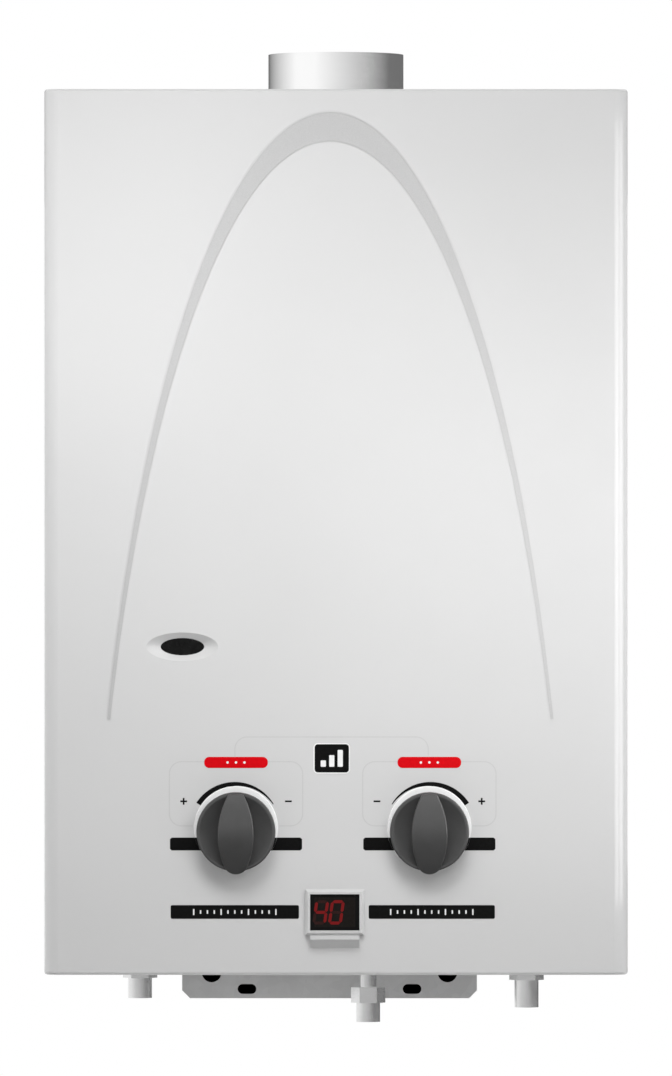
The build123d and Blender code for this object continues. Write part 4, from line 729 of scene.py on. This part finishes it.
def badge(material, edge, bars):
    """A square with a pale edge and three rising bars."""
    wide = rounded(BADGE_X, BADGE_Z, BADGE_HALF_L + BADGE_EDGE, BADGE_HALF_H + BADGE_EDGE,
                   BADGE_CORNER + BADGE_EDGE)
    plates("badge_edge", [wide], edge)
    square = rounded(BADGE_X, BADGE_Z, BADGE_HALF_L, BADGE_HALF_H, BADGE_CORNER)
    plates("badge", [square], material, OVER_ONE)
    foot = BADGE_Z - BADGE_BAR_DROP
    rising = []
    for i, height in enumerate(BADGE_BAR_HEIGHTS):
        x = BADGE_X + (i - 1) * BADGE_BAR_STEP
        rising.append(rounded(x, foot + height / 2, BADGE_BAR_HALF_W, height / 2, BADGE_BAR_CORNER, 3))
    plates("badge_bars", rising, bars, OVER_TWO)


def label_bars(material, ticks):
    """A bar on each side of the display, with a row of ticks on it."""
    marks = []
    outlines = []
    for x0, x1 in LABEL_SPANS:
        x = (x0 + x1) / 2
        outlines.append(rounded(x, LABEL_Z, (x1 - x0) / 2, LABEL_HALF_H, LABEL_CORNER, 4))
        for i in range(TICKS):
            tick_x = x + (i - (TICKS - 1) / 2) * TICK_STEP
            half_h = TALL_TICK_HALF_H if i % TALL_TICK_EVERY == 0 else TICK_HALF_H
            marks.append(rounded(tick_x, LABEL_Z, TICK_HALF_W, half_h, TICK_CORNER, 2))
    plates("label_bars", outlines, material)
    plates("label_ticks", marks, ticks, OVER_ONE)


# Window and figures of the display

def segment(which, x, z):
    """One bar of a seven-bar figure, with pointed ends, leaning a little to the right."""
    w, h, t = DIGIT_W / 2, DIGIT_H / 2, DIGIT_LINE / 2
    top_left, top_right = (-w, h), (w, h)
    mid_left, mid_right = (-w, 0), (w, 0)
    low_left, low_right = (-w, -h), (w, -h)
    ends = {
        "a": (top_left, top_right), "b": (top_right, mid_right), "c": (mid_right, low_right),
        "d": (low_left, low_right), "e": (mid_left, low_left), "f": (top_left, mid_left),
        "g": (mid_left, mid_right)}
    one, two = (Vector(end) for end in ends[which])
    along = (two - one).normalized()
    across = Vector((-along.y, along.x)) * t
    one += along * SEGMENT_GAP
    two -= along * SEGMENT_GAP
    corners = [one, one + along * t + across, two - along * t + across,
               two, two - along * t - across, one + along * t - across]
    return [(x + p.x + p.y * DIGIT_LEAN, z + p.y) for p in corners]


def figures(lit, unlit):
    """Two figures, with the bars that are lit and the ones that aren't."""
    bright, dim = [], []
    for i, wanted in enumerate(LIT_SEGMENTS):
        x = SCREEN.x + DIGITS_X + i * DIGIT_STEP
        for which in ALL_SEGMENTS:
            group = bright if which in wanted else dim
            group.append(segment(which, x, SCREEN.z))
    plates("figures", bright, lit, LENS_Y - INK)
    plates("figures_unlit", dim, unlit, LENS_Y - INK)


def screen_window(material):
    """The part of the display's lens that the figures show through."""
    window = rounded(SCREEN.x, SCREEN.z, WINDOW_HALF_L, WINDOW_HALF_H, WINDOW_CORNER, 3)
    plates("screen_window", [window], material, LENS_Y)


def print_marks():
    black = ink("black_ink", grey(0.005), spread=0.25)
    red = ink("red_ink", (0.68, 0.001, 0.006), spread=0.06)
    white = ink("white_ink", grey(0.86), spread=0.03)
    faint = ink("faint_ink", grey(0.57), spread=0.02)
    for name, knob, plus_side in (("gas", GAS_KNOB, -1), ("water", WATER_KNOB, 1)):
        knob_arc(name + "_arc", knob.x, plus_side, black)
        knob_bars(name + "_bar", knob.x, black)
        ring_bars(name + "_ring_bar", knob.x, black)
        knob_field(name + "_field", knob.x, faint)
        knob_signs(name + "_signs", knob.x, plus_side, black)
        pill(name + "_pill", knob.x, red, white)
    bridge_line("bridge_line", faint)
    badge(black, white, white)
    label_bars(black, white)
    screen_window(ink("window_tint", (0.011, 0.009, 0.008), spread=0.15))
    lit = glow("lit_red", (0.15, 0.004, 0.005), strength=1.0)
    unlit = ink("unlit_red", (0.030, 0.012, 0.011), spread=0.1)
    figures(lit, unlit)


# Lamps

def hang(name, lamp, place_at):
    """A lamp that lights the scene, but shows in no picture and no reflection."""
    light = bpy.data.objects.new(name, lamp)
    light.location = place_at
    light.visible_camera = False
    light.visible_glossy = False
    bpy.context.scene.collection.objects.link(light)
    return light


def small_light(name, place_at, power):
    """A soft round lamp."""
    lamp = bpy.data.lights.new(name, "POINT")
    lamp.energy = power
    lamp.shadow_soft_size = SMALL_LAMP_R
    hang(name, lamp, place_at)


def panel_light(name, place_at, look_at, power, width, height):
    """A rectangular lamp that faces a point."""
    lamp = bpy.data.lights.new(name, "AREA")
    lamp.energy = power
    lamp.shape = "RECTANGLE"
    lamp.size = width
    lamp.size_y = height
    light = hang(name, lamp, place_at)
    light.rotation_euler = (Vector(look_at) - Vector(place_at)).to_track_quat("-Z", "Y").to_euler()


def lamps():
    """Two small lamps near the front, and panels above, at both sides and behind."""
    small_light("right_light", (0.107, FACE_Y - 0.222, 0.001), power=1.14)
    small_light("upper_light", (-0.124, FACE_Y - 0.191, 0.132), power=0.83)
    panel_light("top_light", (0.0, -1.4, 1.6), FACE_MIDDLE, power=22.2, width=1.0, height=0.8)
    panel_light("right_fill", (1.6, 0.3, 0.3), WALL_MIDDLE, power=15.0, width=0.8, height=0.8)
    panel_light("left_fill", (-1.6, 0.3, 0.5), WALL_MIDDLE, power=13.0, width=0.8, height=0.8)
    panel_light("back_light", (0.3, 1.4, 1.3), WALL_MIDDLE, power=14.0, width=1.2, height=1.2)


# Boards that only reflections see

def reflected_only(name, made, material):
    """A board that only reflections see, as studio flags and strip lamps are outside the picture."""
    board = new_object(name, made, material)
    board.visible_camera = False
    board.visible_diffuse = False
    board.visible_transmission = False
    board.visible_shadow = False


def board_glow(name, strength):
    """Even light of one strength; returns the material and its emission node."""
    material = bpy.data.materials.new(name)
    material.use_nodes = True
    tree = material.node_tree
    tree.nodes.remove(tree.nodes["Principled BSDF"])
    emission = tree.nodes.new("ShaderNodeEmission")
    emission.inputs["Strength"].default_value = strength
    tree.links.new(emission.outputs[0], tree.nodes["Material Output"].inputs["Surface"])
    return material, emission


def fading_glow(name, from_deg, fade_deg, last_strength):
    """Light that fades round the Z axis, from white at the first angle to the last strength at the second."""
    material, emission = board_glow(name, 1.0)
    tree = material.node_tree
    coords = tree.nodes.new("ShaderNodeTexCoord")
    split = tree.nodes.new("ShaderNodeSeparateXYZ")
    tree.links.new(coords.outputs["Object"], split.inputs[0])
    forward = tree.nodes.new("ShaderNodeMath")
    forward.operation = "MULTIPLY"
    forward.inputs[1].default_value = -1.0
    tree.links.new(split.outputs["Y"], forward.inputs[0])
    angle = tree.nodes.new("ShaderNodeMath")
    angle.operation = "ARCTAN2"
    tree.links.new(split.outputs["X"], angle.inputs[0])
    tree.links.new(forward.outputs[0], angle.inputs[1])
    spread = tree.nodes.new("ShaderNodeMapRange")
    spread.inputs["From Min"].default_value = math.radians(from_deg)
    spread.inputs["From Max"].default_value = math.radians(fade_deg)
    spread.inputs["To Min"].default_value = 1.0
    spread.inputs["To Max"].default_value = last_strength
    tree.links.new(angle.outputs[0], spread.inputs["Value"])
    tree.links.new(spread.outputs["Result"], emission.inputs["Strength"])
    return material


def turned(radius, deg):
    """X and Y at a distance from the middle; angles run from the front towards the right."""
    turn = math.radians(deg)
    return radius * math.sin(turn), -radius * math.cos(turn)


def curved_flag(name, from_deg, fade_deg, to_deg, last_strength, low, high):
    """An upright board bent round the object.
    Its light fades from white at the first angle, and is even from the second to the third."""
    made = bmesh.new()
    steps = 24
    rows = []
    for i in range(steps + 1):
        x, y = turned(FLAG_R, from_deg + (to_deg - from_deg) * i / steps)
        rows.append((made.verts.new((x, y, low)), made.verts.new((x, y, high))))
    for here, there in zip(rows, rows[1:]):
        made.faces.new((here[0], there[0], there[1], here[1]))
    reflected_only(name, made, fading_glow(name, from_deg, fade_deg, last_strength))


def floor_flag():
    """A dark board in front of the object's foot, which faces that look down reflect."""
    material, _ = board_glow("floor_flag", FLOOR_FLAG_STRENGTH)
    made = bmesh.new()
    corners = ((-FLOOR_FLAG_HALF_W, FLOOR_FLAG_FRONT), (FLOOR_FLAG_HALF_W, FLOOR_FLAG_FRONT),
               (FLOOR_FLAG_HALF_W, FLOOR_FLAG_BACK), (-FLOOR_FLAG_HALF_W, FLOOR_FLAG_BACK))
    made.faces.new([made.verts.new((x, y, FLOOR_FLAG_Z)) for x, y in corners])
    reflected_only("floor_flag", made, material)


def edge_strip(name, from_deg, to_deg, strength):
    """An upright bright board near the casing's right bend, which draws a highlight down it."""
    material, _ = board_glow(name, strength)
    made = bmesh.new()
    bend_x = CASE_RIGHT - BEND_R
    bend_y = FACE_Y + BEND_R
    outline = ((from_deg, STRIP_LOW), (to_deg, STRIP_LOW), (to_deg, STRIP_HIGH), (from_deg, STRIP_HIGH))
    corners = []
    for deg, z in outline:
        x, y = turned(STRIP_NEAR, deg)
        corners.append(made.verts.new((bend_x + x, bend_y + y, z)))
    made.faces.new(corners)
    reflected_only(name, made, material)


def boards():
    """Flags whose light fades round the object, and bright strips for the casing's right edge."""
    curved_flag("upper_right_flag", from_deg=-35.0, fade_deg=100.0, to_deg=170.0, last_strength=0.16,
                low=FLAG_NEAR_Z, high=FLAG_FAR_Z)
    curved_flag("upper_left_flag", from_deg=-70.0, fade_deg=-170.0, to_deg=-175.0, last_strength=0.08,
                low=FLAG_NEAR_Z, high=FLAG_FAR_Z)
    curved_flag("lower_flag", from_deg=-85.0, fade_deg=55.0, to_deg=170.0, last_strength=0.08,
                low=-FLAG_FAR_Z, high=-FLAG_NEAR_Z)
    floor_flag()
    edge_strip("edge_strip", from_deg=14.0, to_deg=40.0, strength=5.0)
    edge_strip("side_strip", from_deg=48.0, to_deg=78.0, strength=4.5)


# Floor, painted shade patches behind holes, world and camera

def front_only(material, shader):
    """The material's faces are clear from behind."""
    tree = material.node_tree
    side = tree.nodes.new("ShaderNodeNewGeometry")
    clear = tree.nodes.new("ShaderNodeBsdfTransparent")
    either = tree.nodes.new("ShaderNodeMixShader")
    tree.links.new(side.outputs["Backfacing"], either.inputs[0])
    tree.links.new(shader.outputs[0], either.inputs[1])
    tree.links.new(clear.outputs[0], either.inputs[2])
    tree.links.new(either.outputs[0], tree.nodes["Material Output"].inputs["Surface"])


def painted_hole_shade():
    """Black patches behind the wall tab's holes: painted shade that stands for the shadow seen through them.
    They show from the front only.
    """
    # A sheet that gives no light: painted shade where only shadow would be
    material, emission = board_glow("painted_hole_shade", 0.0)
    front_only(material, emission)
    made = bmesh.new()
    for side in (-1, 1):
        slot = rounded(TAB_X + side * SLOT_OUT, SLOT_Z, SLOT_PATCH_HALF_L, SLOT_PATCH_HALF_H,
                       SLOT_PATCH_CORNER)
        hole = disc(TAB_X + side * HOLE_OUT, HOLE_Z, HOLE_PATCH_R)
        for outline in (slot, hole):
            made.faces.new([made.verts.new((x, PATCH_BEHIND, z)) for x, z in reversed(outline)])
    patches = new_object("painted_hole_shade", made, material)


def floor():
    """A pale round floor, which is clear from below."""
    material, shader = start("floor_paint", grey(0.70), roughness=0.8)
    tint(material, shader, noise(material, 6.0), dark=grey(0.69), light=grey(0.71))
    shader.inputs["Specular IOR Level"].default_value = 0.0
    front_only(material, shader)
    made = bmesh.new()
    bmesh.ops.create_circle(made, cap_ends=True, radius=FLOOR_R, segments=FLOOR_SIDES)
    bmesh.ops.translate(made, verts=made.verts, vec=(0.0, FLOOR_Y, FLOOR_Z))
    ground = new_object("floor", made, material)


def world():
    """White where it is seen or reflected, dimmer where it lights the object."""
    sky = bpy.data.worlds.new("studio")
    sky.use_nodes = True
    tree = sky.node_tree
    background = tree.nodes["Background"]
    background.inputs["Color"].default_value = (1.0, 1.0, 1.0, 1.0)
    path = tree.nodes.new("ShaderNodeLightPath")
    seen = path.outputs["Is Camera Ray"]
    for output in ("Is Glossy Ray", "Is Transmission Ray"):
        either = tree.nodes.new("ShaderNodeMath")
        either.operation = "MAXIMUM"
        tree.links.new(seen, either.inputs[0])
        tree.links.new(path.outputs[output], either.inputs[1])
        seen = either.outputs[0]
    strength = tree.nodes.new("ShaderNodeMapRange")
    strength.inputs["To Min"].default_value = AMBIENT
    strength.inputs["To Max"].default_value = 1.0
    tree.links.new(seen, strength.inputs["Value"])
    tree.links.new(strength.outputs["Result"], background.inputs["Strength"])
    bpy.context.scene.world = sky


def camera():
    """Straight at the front from far off."""
    lens = bpy.data.cameras.new("camera")
    lens.lens = CAMERA_LENS
    lens.sensor_width = CAMERA_SENSOR
    eye = bpy.data.objects.new("camera", lens)
    eye.location = (0.0, CAMERA_Y, CAMERA_Z)
    eye.rotation_euler = (math.pi / 2, 0.0, 0.0)
    bpy.context.scene.collection.objects.link(eye)
    bpy.context.scene.camera = eye


def studio():
    camera()
    world()
    floor()
    boards()
    painted_hole_shade()
    lamps()
    bpy.context.scene.view_settings.view_transform = "Standard"


dress_nodes()
poppet_coil()
print_marks()
studio()
bpy.context.view_layer.update()
